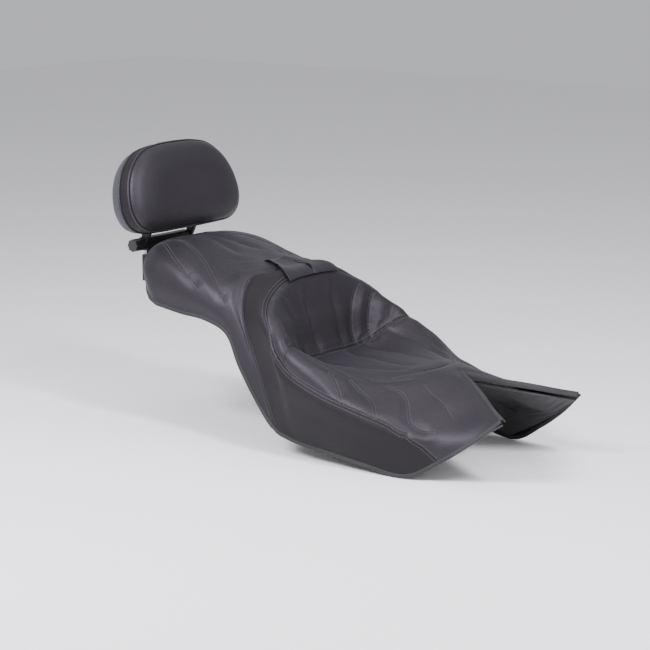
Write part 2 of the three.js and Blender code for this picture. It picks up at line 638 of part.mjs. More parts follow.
// The outline drawn in from its edge by a distance, at a distance forward of the front seam.
function padRing(forward, inset) {
  const half = padHalf.getPoints(PAD_OUTLINE_STEPS);
  const all = [...half, ...half.slice(1, -1).reverse().map((point) => new THREE.Vector2(-point.x, point.y))];
  return all.map((point) => {
    const fromMiddle = new THREE.Vector2(point.x, point.y - PAD_MIDDLE);
    const reach = fromMiddle.length();
    fromMiddle.multiplyScalar(Math.max(reach - inset, reach * 0.02) / reach);
    return padPoint(fromMiddle.x, fromMiddle.y + PAD_MIDDLE, forward);
  });
}

function padSolid(sections, shrink = 0, push = 0) {
  return loft(sections.map(([forward, inset]) => padRing(forward + push, inset + shrink)));
}

function addBackrestPad() {
  const faceDeep = [[-6, 0], ...FACE_SECTIONS];
  const faceBody = padSolid([[GAP / 2, 0], ...FACE_SECTIONS.slice(1)]);
  add('backrest_face', cut(faceBody, padSolid(faceDeep, COVER, -COVER)), leather);
  const band = padSolid([[BAND_REAR + GAP / 2, 0], [-GAP / 2, 0]]);
  add('backrest_band', cut(band, padSolid([[BAND_REAR - 2, COVER], [2, COVER]])), skirtLeather);
  const foamSections = [[BAND_REAR + GAP, 0], ...FACE_SECTIONS];
  const foam = padSolid(foamSections.map(([forward, inset]) => [
    Math.max(forward - COVER - GAP, BAND_REAR + GAP), inset + COVER + GAP,
  ]));
  add('backrest_foam', foam, foamGrey);
  const board = padSolid([[BAND_REAR - BACK_BOARD, 4], [BAND_REAR, 4]]);
  add('backrest_board', board, panPlastic);

  const rearTop = BAND_REAR - GAP / 2;
  const rearSections = [...REAR_SECTIONS.slice(0, -1), [rearTop, 0]];
  const rearBody = padSolid(rearSections);
  const hollow = padSolid([...REAR_SECTIONS.slice(0, -1), [BAND_REAR + 4, 0]], COVER, COVER);
  const lugNotch = box([-500, -BAR.halfLength - 14, 200], [-440, BAR.halfLength + 14, 283]);
  add('backrest_rear_cover', cut(rearBody, hollow, lugNotch), pouchVinyl);
}

function addTiltBracket() {
  const back = BAND_REAR - BACK_BOARD - GAP;
  const plate = padSolidBox(-BAR.halfLength - 8, BAR.halfLength + 8, 14, 74, back - 4, back);
  const lugs = [1, -1].map((side) => {
    const inner = BAR.halfLength + GAP;
    const [y0, y1] = side > 0 ? [inner, inner + LUG.thickness] : [-inner - LUG.thickness, -inner];
    const corner = (up, forward) => {
      const point = padPoint(0, up, forward);
      return [point.x, point.z];
    };
    const arm = extrudeAlongY([
      [PIVOT.x - 7, PIVOT.z - 8], [PIVOT.x + 8, PIVOT.z - 7], corner(16, back - 0.5),
      corner(46, back - 0.5), corner(46, back - 14), corner(20, back - 24),
    ], y0, y1);
    return join(arm, cylinderAlongY(LUG.radius, PIVOT.x, PIVOT.z, y0, y1));
  });
  const bore = cylinderAlongY(PIN_RADIUS + GAP, PIVOT.x, PIVOT.z, -90, 90);
  add('tilt_bracket', cut(join(plate, ...lugs), bore), blackSteel);
}

// A box in the pad's leaning frame.
function padSolidBox(y0, y1, up0, up1, forward0, forward1) {
  const ring = (forward) => [[y0, up0], [y1, up0], [y1, up1], [y0, up1]]
    .map(([y, up]) => padPoint(y, up, forward));
  return loft([ring(forward0), ring(forward1)]);
}

function addPadWelts() {
  for (const [name, forward] of [['front', 0], ['rear', BAND_REAR]]) {
    const middles = padRing(forward, -WELT_LIFT);
    const rings = middles.map((point, i) => {
      const next = middles[(i + 1) % middles.length];
      const before = middles[(i + middles.length - 1) % middles.length];
      const across = next.clone().sub(before).cross(padForward).normalize();
      return cordRing(point, across, padForward);
    });
    add(`backrest_welt_${name}`, loft(rings, true), piping);
  }
}

addPan();
addFoam();
addCovers();
addRestPads();
addTongue();
addLatch();
addSlotReceiver();
addTrim();
addBucketWelts();
addFlap();
addBracket();
addBladesAndSockets();
addHingeBar();
addBackrestPad();
addTiltBracket();
addPadWelts();

export default part;
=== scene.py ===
"""Motorcycle seat with passenger backrest: upholstery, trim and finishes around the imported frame."""
import json
import math

import bpy
import numpy as np
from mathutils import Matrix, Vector


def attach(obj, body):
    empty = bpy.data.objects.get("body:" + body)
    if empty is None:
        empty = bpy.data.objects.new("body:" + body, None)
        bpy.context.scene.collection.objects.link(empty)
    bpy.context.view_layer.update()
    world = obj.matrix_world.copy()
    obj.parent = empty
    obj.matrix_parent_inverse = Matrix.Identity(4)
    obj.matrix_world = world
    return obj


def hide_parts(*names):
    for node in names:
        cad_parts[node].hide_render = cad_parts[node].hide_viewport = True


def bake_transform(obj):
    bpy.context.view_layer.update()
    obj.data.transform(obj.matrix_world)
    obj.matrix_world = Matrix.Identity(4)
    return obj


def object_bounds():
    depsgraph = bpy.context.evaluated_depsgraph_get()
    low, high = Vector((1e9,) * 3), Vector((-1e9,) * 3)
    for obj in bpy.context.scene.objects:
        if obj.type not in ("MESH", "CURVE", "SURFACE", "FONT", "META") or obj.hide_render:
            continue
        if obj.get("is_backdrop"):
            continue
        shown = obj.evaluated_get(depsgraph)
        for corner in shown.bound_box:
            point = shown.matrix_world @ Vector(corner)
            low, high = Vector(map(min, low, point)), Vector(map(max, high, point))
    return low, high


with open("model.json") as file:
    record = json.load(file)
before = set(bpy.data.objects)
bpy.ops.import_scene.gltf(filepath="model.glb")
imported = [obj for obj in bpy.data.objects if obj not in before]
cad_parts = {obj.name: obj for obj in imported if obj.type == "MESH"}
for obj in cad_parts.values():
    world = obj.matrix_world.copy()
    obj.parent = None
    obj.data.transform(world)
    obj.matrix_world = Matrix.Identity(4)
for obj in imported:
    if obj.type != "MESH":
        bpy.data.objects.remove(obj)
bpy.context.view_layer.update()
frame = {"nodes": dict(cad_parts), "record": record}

MM = 0.001
HEM = 5
SEAT_SEAM = 10
TANK_EDGE = 16

# ---------------------------------------------------------------- camera

AIM = Vector((-0.1, 0.0, 0.11))
CAMERA_DISTANCE = 4.0
CAMERA_AZIMUTH = math.radians(38.0)
CAMERA_ELEVATION = math.radians(11.5)
CAMERA_LENS = 124.06

camera_data = bpy.data.cameras.new("camera")
camera_data.lens = CAMERA_LENS
camera_data.sensor_width = 36.0
camera = bpy.data.objects.new("camera", camera_data)
bpy.context.scene.collection.objects.link(camera)
towards_camera = Vector((
    math.sin(CAMERA_AZIMUTH) * math.cos(CAMERA_ELEVATION),
    -math.cos(CAMERA_AZIMUTH) * math.cos(CAMERA_ELEVATION),
    math.sin(CAMERA_ELEVATION),
))
camera.location = AIM + CAMERA_DISTANCE * towards_camera
camera.rotation_euler = (-towards_camera).to_track_quat("-Z", "Y").to_euler()
bpy.context.scene.camera = camera

# ---------------------------------------------------------------- seat surface

# Cross ribs from rear to front in mm, left half: centre, inner, crest, shoulder, side, hem.
RIBS = np.array([
    [[-452, 0, 170], [-452, 45, 170], [-440, 88, 170], [-422, 118, 164], [-405, 134, 156], [-390, 142, 148]],
    [[-456, 0, 218], [-454, 48, 217], [-440, 92, 211], [-420, 124, 194], [-394, 142, 168], [-372, 148, 142]],
    [[-422, 0, 237], [-420, 52, 237], [-411, 96, 231], [-394, 130, 209], [-368, 148, 176], [-348, 150, 139]],
    [[-358, 0, 240], [-356, 54, 240], [-352, 100, 233], [-340, 135, 210], [-322, 152, 174], [-305, 153, 134]],
    [[-290, 0, 227], [-289, 53, 226], [-286, 101, 217], [-278, 137, 194], [-262, 154, 160], [-250, 153, 129]],
    [[-230, 0, 214], [-230, 52, 213], [-232, 103, 202], [-224, 138, 178], [-206, 154, 138], [-198, 155, 110]],
    [[-202, 0, 209], [-203, 52, 208], [-208, 104, 198], [-200, 138, 168], [-166, 154, 110], [-158, 162, 50]],
    [[-180, 0, 206], [-182, 54, 204], [-190, 106, 193], [-179, 138, 152], [-124, 160, 55], [-76, 172, -42]],
    [[-136, 0, 203], [-134, 66, 199], [-127, 122, 176], [-108, 159, 146], [-72, 174, 50], [-48, 175, -51]],
    [[-110, 0, 137], [-106, 74, 135], [-88, 148, 139], [-66, 185, 96], [-44, 184, 20], [-24, 176, -56]],
    [[-77, 0, 67], [-77, 84, 69], [-46, 168, 101], [-32, 188, 65], [-16, 186, 2], [0, 177, -59]],
    [[20, 0, 63], [20, 84, 62], [24, 160, 70], [32, 189, 39], [40, 187, -12], [48, 177, -64]],
    [[100, 0, 65], [100, 74, 61], [98, 146, 39], [105, 186, 20], [108, 184, -28], [116, 176, -72]],
    [[152, 0, 68], [148, 56, 64], [152, 116, 36], [162, 174, 3], [184, 172, -38], [200, 166, -81]],
    [[176, 0, 67], [186, 48, 60], [190, 104, 30], [200, 164, -12], [230, 158, -32], [256, 153, -51]],
    [[189, 0, 66], [218, 36, 59], [242, 74, 42], [262, 115, 10], [286, 135, -5], [308, 140, -14]],
    [[199, 0, 66], [236, 28, 57], [271, 55, 49], [305, 82, 40], [332, 103, 33], [356, 120, 28]],
], float) * MM

RIB_STEPS = [16, 14, 24, 24, 22, 12, 12, 18, 30, 34, 36, 30, 22, 16, 18, 18]
COLUMN_STEPS = [32, 32, 20, 20, 16]


def through(points, at):
    """Centripetal Catmull-Rom through points (n, ..., 3), read at parameters from 0 to n - 1."""
    first = 2 * points[0] - points[1]
    last = 2 * points[-1] - points[-2]
    chain = np.concatenate([first[None], points, last[None]])
    index = np.clip(np.floor(at).astype(int), 0, len(points) - 2)
    f = (at - index).reshape((-1,) + (1,) * (points.ndim - 1))
    return segment(chain[index], chain[index + 1], chain[index + 2], chain[index + 3], f)


def segment(p0, p1, p2, p3, f):
    def knot(a, b):
        return np.maximum(np.sqrt(np.linalg.norm(b - a, axis=-1, keepdims=True)), 1e-4)

    d0, d1, d2 = knot(p0, p1), knot(p1, p2), knot(p2, p3)
    m1 = ((p1 - p0) / d0 - (p2 - p0) / (d0 + d1) + (p2 - p1) / d1) * d1
    m2 = ((p2 - p1) / d1 - (p3 - p1) / (d1 + d2) + (p3 - p2) / d2) * d1
    return p1 + m1 * f + (3 * (p2 - p1) - 2 * m1 - m2) * f**2 + (2 * (p1 - p2) + m1 + m2) * f**3


def stations(steps):
    """Parameter values with the given number of steps in each whole interval."""
    parts = [i + np.arange(count) / count for i, count in enumerate(steps)]
    return np.concatenate(parts + [[float(len(steps))]])


def unit(vectors):
    return vectors / np.maximum(np.linalg.norm(vectors, axis=-1, keepdims=True), 1e-12)


def run_along(points):
    """The distance run along a chain of points, at each of them."""
    return np.concatenate([[0], np.cumsum(np.linalg.norm(np.diff(points, axis=0), axis=1))])


def read_along(run, values, at):
    """Values given along a chain, read at distances along it."""
    return np.stack([np.interp(at, run, column) for column in values.T], 1)


def eased(chain, passes):
    """A chain of values with its corners rounded and its ends held."""
    for _ in range(passes):
        chain[1:-1] = (chain[:-2] + 2 * chain[1:-1] + chain[2:]) / 4
    return chain


def grid_normals(grid):
    return unit(np.cross(np.gradient(grid, axis=0), np.gradient(grid, axis=1)))


mirrored = RIBS[:, :0:-1] * np.array([1, -1, 1])
NET = np.concatenate([mirrored, RIBS], axis=1)
U = stations(RIB_STEPS)
T = np.concatenate([-stations(COLUMN_STEPS)[:0:-1], stations(COLUMN_STEPS)])
rails = through(NET, U)
BASE = through(rails.transpose(1, 0, 2), T + HEM).transpose(1, 0, 2)
NORMAL = grid_normals(BASE)


def cell_lookup(axis, value):
    index = np.clip(np.searchsorted(axis, value, side="right") - 1, 0, len(axis) - 2)
    return index, (value - axis[index]) / (axis[index + 1] - axis[index])


def sample(field, u, t):
    """A grid field read at pairs of rib and column parameters."""
    i, fu = cell_lookup(U, np.clip(u, 0, TANK_EDGE))
    j, ft = cell_lookup(T, np.clip(t, -HEM, HEM))
    extra = (1,) * (field.ndim - 2)
    fu = fu.reshape((-1,) + extra)
    ft = ft.reshape((-1,) + extra)
    near = field[i, j] * (1 - ft) + field[i, j + 1] * ft
    far = field[i + 1, j] * (1 - ft) + field[i + 1, j + 1] * ft
    return near * (1 - fu) + far * fu


def smoothstep(value, low, high):
    f = np.clip((value - low) / (high - low), 0, 1)
    return f * f * (3 - 2 * f)


# ---------------------------------------------------------------- seams and sewn channels

def both_sides(curve):
    """A curve listed for the left half, and its mirror on the right."""
    return [curve, [(u, -t) for u, t in curve]]


# The rim of the bucket on the left half, and the seam that runs on from it along the side.
RIM_CURVE = [(8, 1), (8, 1.5), (8, 2), (8, 2.5), (8.08, 2.92)]
SIDE_CURVE = [RIM_CURVE[-1], (8.45, 3)] + [(u, 3) for u in range(9, 15)]

# Panel seams: depth and half-width in mm, and curves of rib and column parameters.
SEAMS = {
    "rear_side": (1.6, 4.0, both_sides([(6.9, 1.9), (7, 2.3), (7, 3), (7, 4), (7, 5)])),
    "slot_rear": (1.2, 4.0, [[(7, -1), (7, 0), (7, 1)]]),
    "slot_front": (1.6, 4.0, [[(8, -1), (8, 0), (8, 1)]]),
    "bucket_rim": (2.6, 6.0, both_sides(RIM_CURVE)),
    "side": (2.6, 6.0, both_sides(SIDE_CURVE)),
    "cross": (4.2, 5.5, [[(10, -2), (10, -1), (10, 0), (10, 1), (10, 2)]]),
    "skirt_front": (1.6, 4.0, both_sides([(14, 3), (14, 4), (14, 5)])),
}

LEFT, RIGHT, BOTH = (1,), (-1,), (1, -1)

# Channels and creases in the padding. Each is an arc between two points of rib and column parameters:
# depth and half-width in mm, the share of the depth left at its end, the rows of stitching, the sides it
# is on, its start and end on the left half, and its bow as a share of its length.
CHANNELS = [
    # passenger seat: two sewn darts up each side, and a long crease that runs in to the flap
    (1.9, 6, 0.4, 2, BOTH, (4.1, 3.5), (1.8, 1.2), -0.05),
    (2.2, 6, 0.4, 2, BOTH, (5.3, 3.5), (1.9, 0.9), 0.06),
    (1.7, 8, 0.5, 0, BOTH, (6.9, 2.0), (2.1, 0.4), -0.14),
    (1.6, 8, 0.4, 0, BOTH, (4.5, 0.6), (2.6, 0.1), 0),
    # bucket back: flutes from its rim down to the cross seam
    (2.6, 6, 1.0, 2, LEFT, (8.2, 2.1), (SEAT_SEAM, 0.8), -0.14),
    (2.8, 6, 1.0, 2, LEFT, (8.5, 2.4), (SEAT_SEAM, 1.2), -0.12),
    (2.4, 6, 1.0, 2, LEFT, (9.0, 2.5), (SEAT_SEAM, 1.6), -0.06),
    (2.4, 6, 0.6, 2, RIGHT, (8.1, 1.5), (SEAT_SEAM, 0.8), -0.10),
    (2.8, 6, 0.5, 2, RIGHT, (8.1, 2.0), (SEAT_SEAM, 1.2), -0.12),
    (1.8, 8, 0.6, 0, RIGHT, (8.4, 2.4), (SEAT_SEAM, 1.6), -0.12),
    (1.9, 9, 0.9, 0, BOTH, (8.1, 0.6), (SEAT_SEAM, 0.4), 0),
    # rider seat: creases from the cross seam towards the nose
    (2.4, 6.5, 0.7, 0, LEFT, (SEAT_SEAM, 0.4), (12.6, -0.3), -0.06),
    (2.6, 6.5, 0.7, 0, BOTH, (SEAT_SEAM, 1.0), (12.6, 0.6), 0),
    (2.8, 7, 0.7, 0, BOTH, (SEAT_SEAM, 1.5), (13.7, 1.2), 0.03),
    (2.4, 7, 0.7, 0, BOTH, (10.2, 2.0), (11.7, 1.7), 0),
    # bolster darts
    (2.0, 5, 0.3, 2, BOTH, (11.7, 3.0), (11.1, 2.0), 0.08),
    (2.8, 5, 0.3, 2, BOTH, (12.7, 3.0), (11.5, 1.8), 0.13),
    (2.8, 5, 0.3, 2, BOTH, (14.6, 3.2), (12.3, 1.6), 0.07),
    (1.8, 5, 0.3, 1, BOTH, (15.0, 2.9), (13.5, 1.4), 0.13),
]
# Three short pleats beside each other behind the flap.
CHANNELS += [
    (1.5, 8, 0.5, 0, BOTH, (5.0 + 0.45 * i, 0.6 + 0.25 * i), (4.1 + 0.2 * i, 1.7 + 0.1 * i), 0)
    for i in range(3)
]
# The fold across the nose: flat in the middle and turning back at its ends.
NOSE_FOLD = (3.6, 7, [(13 - 0.7 * (t / 1.3) ** 4, t) for t in np.linspace(-1.3, 1.3, 13)])
BOLSTER_SEAM = (2.2, 6, (SEAT_SEAM, 1.9), (9.6, 3.0), -0.04)

SAMPLE_STEP = 1.5 * MM
# Lengths over which a channel fades at its ends, in mm, and how near an end is to count as on the cross seam.
STITCHED_FADE = 24
PRESSED_FADE = 45
ON_SEAM = 0.12


class Line:
    """A curve on the seat surface, sampled evenly, with the distance run at each sample."""

    def __init__(self, knots, depth=3.0, width=7.0, fades=(0, 0), tail=1.0, step=SAMPLE_STEP):
        knots = np.array([(u, t, 0.0) for u, t in knots], float)
        raw = through(knots, np.linspace(0, len(knots) - 1, 40 * len(knots)))
        run = run_along(sample(BASE, raw[:, 0], raw[:, 1]))
        self.length = run[-1]
        self.run = np.linspace(0, run[-1], max(int(run[-1] / step), 2) + 1)
        self.u = np.interp(self.run, run, raw[:, 0])
        self.t = np.interp(self.run, run, raw[:, 1])
        self.points = sample(BASE, self.u, self.t)
        self.depth = depth * MM
        self.width = width * MM
        self.weight = 1 - (1 - tail) * self.run / self.length
        for from_end, fade in zip((self.run, self.length - self.run), fades):
            if fade:
                self.weight = self.weight * smoothstep(from_end, 0, fade * MM)


def channel_curves(sides, start, end, bow):
    """The points of an arc from start to end, bowed sideways, on each of the sides."""
    start, end = np.array(start), np.array(end)
    along = end - start
    corner = (start + end) / 2 + 2 * bow * np.array([-along[1], along[0]])
    f = np.linspace(0, 1, 7)[:, None]
    arc = (1 - f) ** 2 * start + 2 * f * (1 - f) * corner + f**2 * end
    return [[(u, side * t) for u, t in arc] for side in sides]


def end_fades(curve, rows):
    """How far a channel fades at each end: not at all where it runs into the cross seam."""
    fade = STITCHED_FADE if rows else PRESSED_FADE
    return [0 if abs(u - SEAT_SEAM) < ON_SEAM else fade for u, _ in (curve[0], curve[-1])]


def close_to(line, reach):
    """Grid points within reach of a line: their numbers, their distances and its nearest samples."""
    flat = BASE.reshape(-1, 3)
    boxed = (flat > line.points.min(axis=0) - reach) & (flat < line.points.max(axis=0) + reach)
    near = np.nonzero(boxed.all(axis=1))[0]
    square = ((flat[near] ** 2).sum(1)[:, None] + (line.points ** 2).sum(1)[None, :]
              - 2 * flat[near] @ line.points.T)
    index = square.argmin(axis=1)
    gap = np.sqrt(np.maximum(square[np.arange(len(near)), index], 0))
    inside = gap < reach
    return near[inside], gap[inside], index[inside]


seam_lines = [Line(curve, depth, width) for depth, width, curves in SEAMS.values() for curve in curves]
channel_lines = [
    Line(c, depth, width, end_fades(c, rows), tail)
    for depth, width, tail, rows, sides, *arc in CHANNELS for c in channel_curves(sides, *arc)
]
channel_lines += [Line(NOSE_FOLD[2], NOSE_FOLD[0], NOSE_FOLD[1], (PRESSED_FADE, PRESSED_FADE))]
channel_lines += [Line(c, BOLSTER_SEAM[0], BOLSTER_SEAM[1]) for c in channel_curves(BOTH, *BOLSTER_SEAM[2:])]


def valley(distance, width):
    """1 in the seam, falling to 0 at its half-width along a quarter circle."""
    f = 1 - np.clip(distance / width, 0, 1)
    return 1 - np.sqrt(np.clip(1 - f * f, 0, 1))


def noise_1d(run, wavelength, seed):
    """Smooth noise along a line."""
    knots = np.random.default_rng(seed).uniform(-1, 1, 4096)
    at = run / wavelength + 40
    index = np.floor(at).astype(int)
    f = at - index
    f = f * f * (3 - 2 * f)
    return knots[index] * (1 - f) + knots[index + 1] * f


# Gathers: small wrinkles that run across a channel and die out a finger's width from it.
GATHER_SEED = 100
GATHER_HEIGHT = 0.28 * MM
GATHER_LENGTH = 5.5 * MM
GATHER_REACH = 5 * MM
REACH = 26 * MM
groove, roll, dip, firm, puckers = np.zeros((5, BASE.shape[0] * BASE.shape[1]))
seam_gap = np.full(groove.shape, 1.0)
for k, line in enumerate(channel_lines):
    near, gap, index = close_to(line, REACH)
    weight = line.weight[index]
    groove[near] = np.maximum(groove[near], line.depth * weight * valley(gap, line.width))
    dip[near] = np.maximum(dip[near], weight * (1 - smoothstep(gap, 0, 20 * MM)))
    firm[near] = np.maximum(firm[near], weight * (1 - smoothstep(gap, 2.5 * MM, 5.5 * MM)))
    fade = np.exp(-((gap - GATHER_REACH) / GATHER_REACH) ** 2) * weight
    puckers[near] += GATHER_HEIGHT * fade * noise_1d(line.run[index], GATHER_LENGTH, GATHER_SEED + k)
for line in seam_lines:
    near, gap, _ = close_to(line, REACH)
    roll[near] = np.maximum(roll[near], line.depth * valley(gap, line.width))
    seam_gap[near] = np.minimum(seam_gap[near], gap)
firm = np.maximum(firm, 1 - smoothstep(seam_gap, 2 * MM, 5 * MM))
groove, roll, dip, firm, puckers, seam_gap = [
    field.reshape(BASE.shape[:2]) for field in (groove, roll, dip, firm, puckers, seam_gap)
]

# How far the padding may swell: all over the seating areas, hardly at all on skirts and hems.
UU, TT = np.meshgrid(U, T, indexing="ij")
flank = smoothstep(np.abs(TT), 3.0, 4.2)
softness = (1 - 0.85 * flank) * smoothstep(UU, 0.2, 1.4) * (1 - smoothstep(UU, 14.2, 15.6))


def inflate(points, faces, hold, growth, pressure):
    """Blow up a sheet of leather, held by how firmly each point is kept, and return its movement."""
    mesh = bpy.data.meshes.new("cloth_pass")
    mesh.from_pydata(points.tolist(), [], faces)
    pad = bpy.data.objects.new("cloth_pass", mesh)
    bpy.context.scene.collection.objects.link(pad)
    group = pad.vertex_groups.new(name="held")
    levels = np.round(hold * 20) / 20
    for level in np.unique(levels):
        group.add(np.nonzero(levels == level)[0].tolist(), float(level), "REPLACE")
    cloth = pad.modifiers.new("cloth", "CLOTH")
    settings = cloth.settings
    settings.quality = 5
    settings.mass = 0.3
    settings.tension_stiffness = 25
    settings.compression_stiffness = 25
    settings.shear_stiffness = 10
    settings.bending_stiffness = 8
    settings.use_pressure = True
    settings.uniform_pressure_force = pressure
    settings.vertex_group_mass = "held"
    settings.pin_stiffness = 1.0
    settings.shrink_min = -growth
    settings.effector_weights.gravity = 0
    cloth.collision_settings.use_collision = False
    cloth.collision_settings.use_self_collision = False
    cloth.point_cache.frame_start = 1
    cloth.point_cache.frame_end = CLOTH_FRAMES
    scene = bpy.context.scene
    for frame_number in range(1, CLOTH_FRAMES + 1):
        scene.frame_set(frame_number)
    final = pad.evaluated_get(bpy.context.evaluated_depsgraph_get()).to_mesh()
    moved = np.empty(len(points) * 3)
    final.vertices.foreach_get("co", moved)
    scene.frame_set(1)
    bpy.data.objects.remove(pad)
    return moved.reshape(-1, 3) - points


def capped(moved, cap):
    length = np.linalg.norm(moved, axis=-1, keepdims=True)
    return moved * cap * np.tanh(length / cap) / np.maximum(length, 1e-9)


def softened(field, times):
    """Average a grid field with its neighbours, its border held."""
    for _ in range(times):
        inner = (field[:-2, 1:-1] + field[2:, 1:-1] + field[1:-1, :-2] + field[1:-1, 2:]) / 4
        field[1:-1, 1:-1] = (field[1:-1, 1:-1] + inner) / 2
    return field


CLOTH_FRAMES = 20
CLOTH_PRESSURE = 3
SEAT_GROWTH = 0.008
SEAT_SWELL_CAP = 4 * MM


def cloth_swell():
    """Inflate the cover between its seams and channels and return how far each point moved."""
    stride = 2
    grid = BASE[::stride, ::stride]
    rows, columns = grid.shape[:2]
    index = np.arange(rows * columns).reshape(rows, columns)
    faces = np.stack([index[:-1, :-1], index[1:, :-1], index[1:, 1:], index[:-1, 1:]], -1).reshape(-1, 4)
    hold = np.maximum(firm, 0.3 + 0.65 * (1 - softness))
    hold[0] = hold[-1] = 1
    hold[:, 0] = hold[:, -1] = 1
    hold = hold[::stride, ::stride].reshape(-1)
    moved = inflate(grid.reshape(-1, 3), faces.tolist(), hold, SEAT_GROWTH, CLOTH_PRESSURE)
    moved = softened(capped(moved.reshape(rows, columns, 3), SEAT_SWELL_CAP), 14)
    along = through(moved, np.interp(U, U[::stride], np.arange(rows)))
    return through(along.transpose(1, 0, 2), np.interp(T, T[::stride], np.arange(columns))).transpose(1, 0, 2)


swell = cloth_swell()

drop = np.maximum(groove, roll) + 0.3 * np.minimum(groove, roll)
RAISE = 3.2 * MM
# The bolsters are packed fuller about the cross seam, and most of all just in front of it.
BOLSTER_SWELL = 8.5 * MM
BOLSTER_MIDDLE = 2.3
BOLSTER_SPREAD = 0.55
fuller = (np.exp(-((np.abs(TT) - BOLSTER_MIDDLE) / BOLSTER_SPREAD) ** 2)
          * smoothstep(UU, 8.6, 10.0) * (1 - smoothstep(UU, 10.6, 11.8)))
puff = RAISE * softness * (1 - dip) * smoothstep(seam_gap, 0, 16 * MM)
puckers *= softness * smoothstep(seam_gap, 3 * MM, 14 * MM)
SKIN = BASE + swell + NORMAL * (puff + BOLSTER_SWELL * fuller + puckers - drop)[..., None]
SKIN_NORMAL = grid_normals(SKIN)
# Painted shade: how deep each point sinks into a seam or channel, used later to darken the leather colour
# there.
SHADE = np.clip(drop / (2.6 * MM), 0, 1)

# ---------------------------------------------------------------- materials


class Nodes:
    """A small helper to write a material's nodes in order."""

    def __init__(self, name):
        self.material = bpy.data.materials.new(name)
        self.material.use_nodes = True
        self.tree = self.material.node_tree
        self.shader = self.tree.nodes["Principled BSDF"]
        self.where = self.new("ShaderNodeTexCoord").outputs["Object"]

    def new(self, kind, **values):
        node = self.tree.nodes.new(kind)
        for key, value in values.items():
            setattr(node, key, value)
        return node

    def link(self, source, target):
        self.tree.links.new(source, target)

    def noise(self, scale, detail=2.0, roughness=0.5, where=None):
        node = self.new("ShaderNodeTexNoise")
        self.link(where or self.where, node.inputs["Vector"])
        node.inputs["Scale"].default_value = scale
        node.inputs["Detail"].default_value = detail
        node.inputs["Roughness"].default_value = roughness
        return node.outputs["Fac"]

    def cells(self, scale, feature="F1", where=None):
        node = self.new("ShaderNodeTexVoronoi", feature=feature)
        self.link(where or self.where, node.inputs["Vector"])
        node.inputs["Scale"].default_value = scale
        return node.outputs["Distance"]

    def remap(self, value, low, high, to_low, to_high):
        node = self.new("ShaderNodeMapRange")
        self.link(value, node.inputs["Value"])
        for key, number in (("From Min", low), ("From Max", high), ("To Min", to_low), ("To Max", to_high)):
            node.inputs[key].default_value = number
        return node.outputs["Result"]

    def math(self, operation, a, b):
        node = self.new("ShaderNodeMath", operation=operation)
        for socket, value in zip(node.inputs, (a, b)):
            if isinstance(value, (int, float)):
                socket.default_value = value
            else:
                self.link(value, socket)
        return node.outputs["Value"]

    def mix(self, factor, a, b):
        node = self.new("ShaderNodeMix", data_type="RGBA")
        self.link(factor, node.inputs["Factor"])
        for socket, value in ((node.inputs["A"], a), (node.inputs["B"], b)):
            if isinstance(value, tuple):
                socket.default_value = (*value, 1.0)
            else:
                self.link(value, socket)
        return node.outputs["Result"]

    def bump(self, height, strength, distance, under=None):
        node = self.new("ShaderNodeBump")
        self.link(height, node.inputs["Height"])
        node.inputs["Strength"].default_value = strength
        node.inputs["Distance"].default_value = distance
        if under is not None:
            self.link(under, node.inputs["Normal"])
        return node.outputs["Normal"]

    def attribute(self, name):
        return self.new("ShaderNodeAttribute", attribute_name=name).outputs["Fac"]

    def set(self, **values):
        for key, value in values.items():
            name = key.replace("_", " ")
            if isinstance(value, tuple):
                value = (*value, 1.0)
            self.shader.inputs[name].default_value = value

    def finish(self, colour, roughness, normal):
        self.link(colour, self.shader.inputs["Base Color"])
        self.link(roughness, self.shader.inputs["Roughness"])
        self.link(normal, self.shader.inputs["Normal"])
        return self.material


def leather(name, dark, light, rough, grain=820.0, sheen=0.05, shine=0.38, shade=True):
    n = Nodes(name)
    drift = n.noise(9.0, 3.0)
    fine = n.noise(210.0, 4.0, 0.6)
    pebbles = n.cells(grain)
    creases = n.cells(grain * 0.31, "DISTANCE_TO_EDGE")
    tone = n.math("ADD", n.math("MULTIPLY", drift, 0.55), n.math("MULTIPLY", fine, 0.45))
    colour = n.mix(n.remap(tone, 0.3, 0.7, 0.0, 1.0), dark, light)
    colour = n.mix(n.remap(pebbles, 0.0, 0.75, 0.0, 0.35), colour, tuple(c * 0.45 for c in dark))
    if shade:
        # Painted shade: the colour is pulled towards a darker tone where the leather sinks into seams and
        # channels.
        groove_shade = n.attribute("shade")
        colour = n.mix(n.remap(groove_shade, 0.15, 1.0, 0.0, 0.6), colour, tuple(c * 0.4 for c in dark))
    mottle = n.math("ADD", fine, n.math("MULTIPLY", pebbles, 0.4))
    roughness = n.remap(mottle, 0.2, 1.0, rough - 0.05, rough + 0.09)
    coarse = n.bump(n.remap(creases, 0.0, 0.12, 0.0, 1.0), 0.16, 0.0004)
    normal = n.bump(pebbles, 0.35, 0.0005, coarse)
    normal = n.bump(n.noise(75.0, 3.0), 0.12, 0.0012, normal)
    n.set(Sheen_Weight=sheen, Sheen_Roughness=0.45, Sheen_Tint=(0.75, 0.72, 0.86), Specular_IOR_Level=shine,
          Specular_Tint=(0.93, 0.86, 0.95))
    return n.finish(colour, roughness, normal)


def plastic(name, dark, light, rough, texture=420.0, strength=0.25):
    n = Nodes(name)
    drift = n.noise(12.0, 3.0)
    stipple = n.noise(texture, 2.0)
    colour = n.mix(n.remap(drift, 0.3, 0.7, 0.0, 1.0), dark, light)
    roughness = n.remap(n.noise(40.0, 4.0), 0.2, 0.8, rough - 0.06, rough + 0.08)
    return n.finish(colour, roughness, n.bump(stipple, strength, 0.0004))


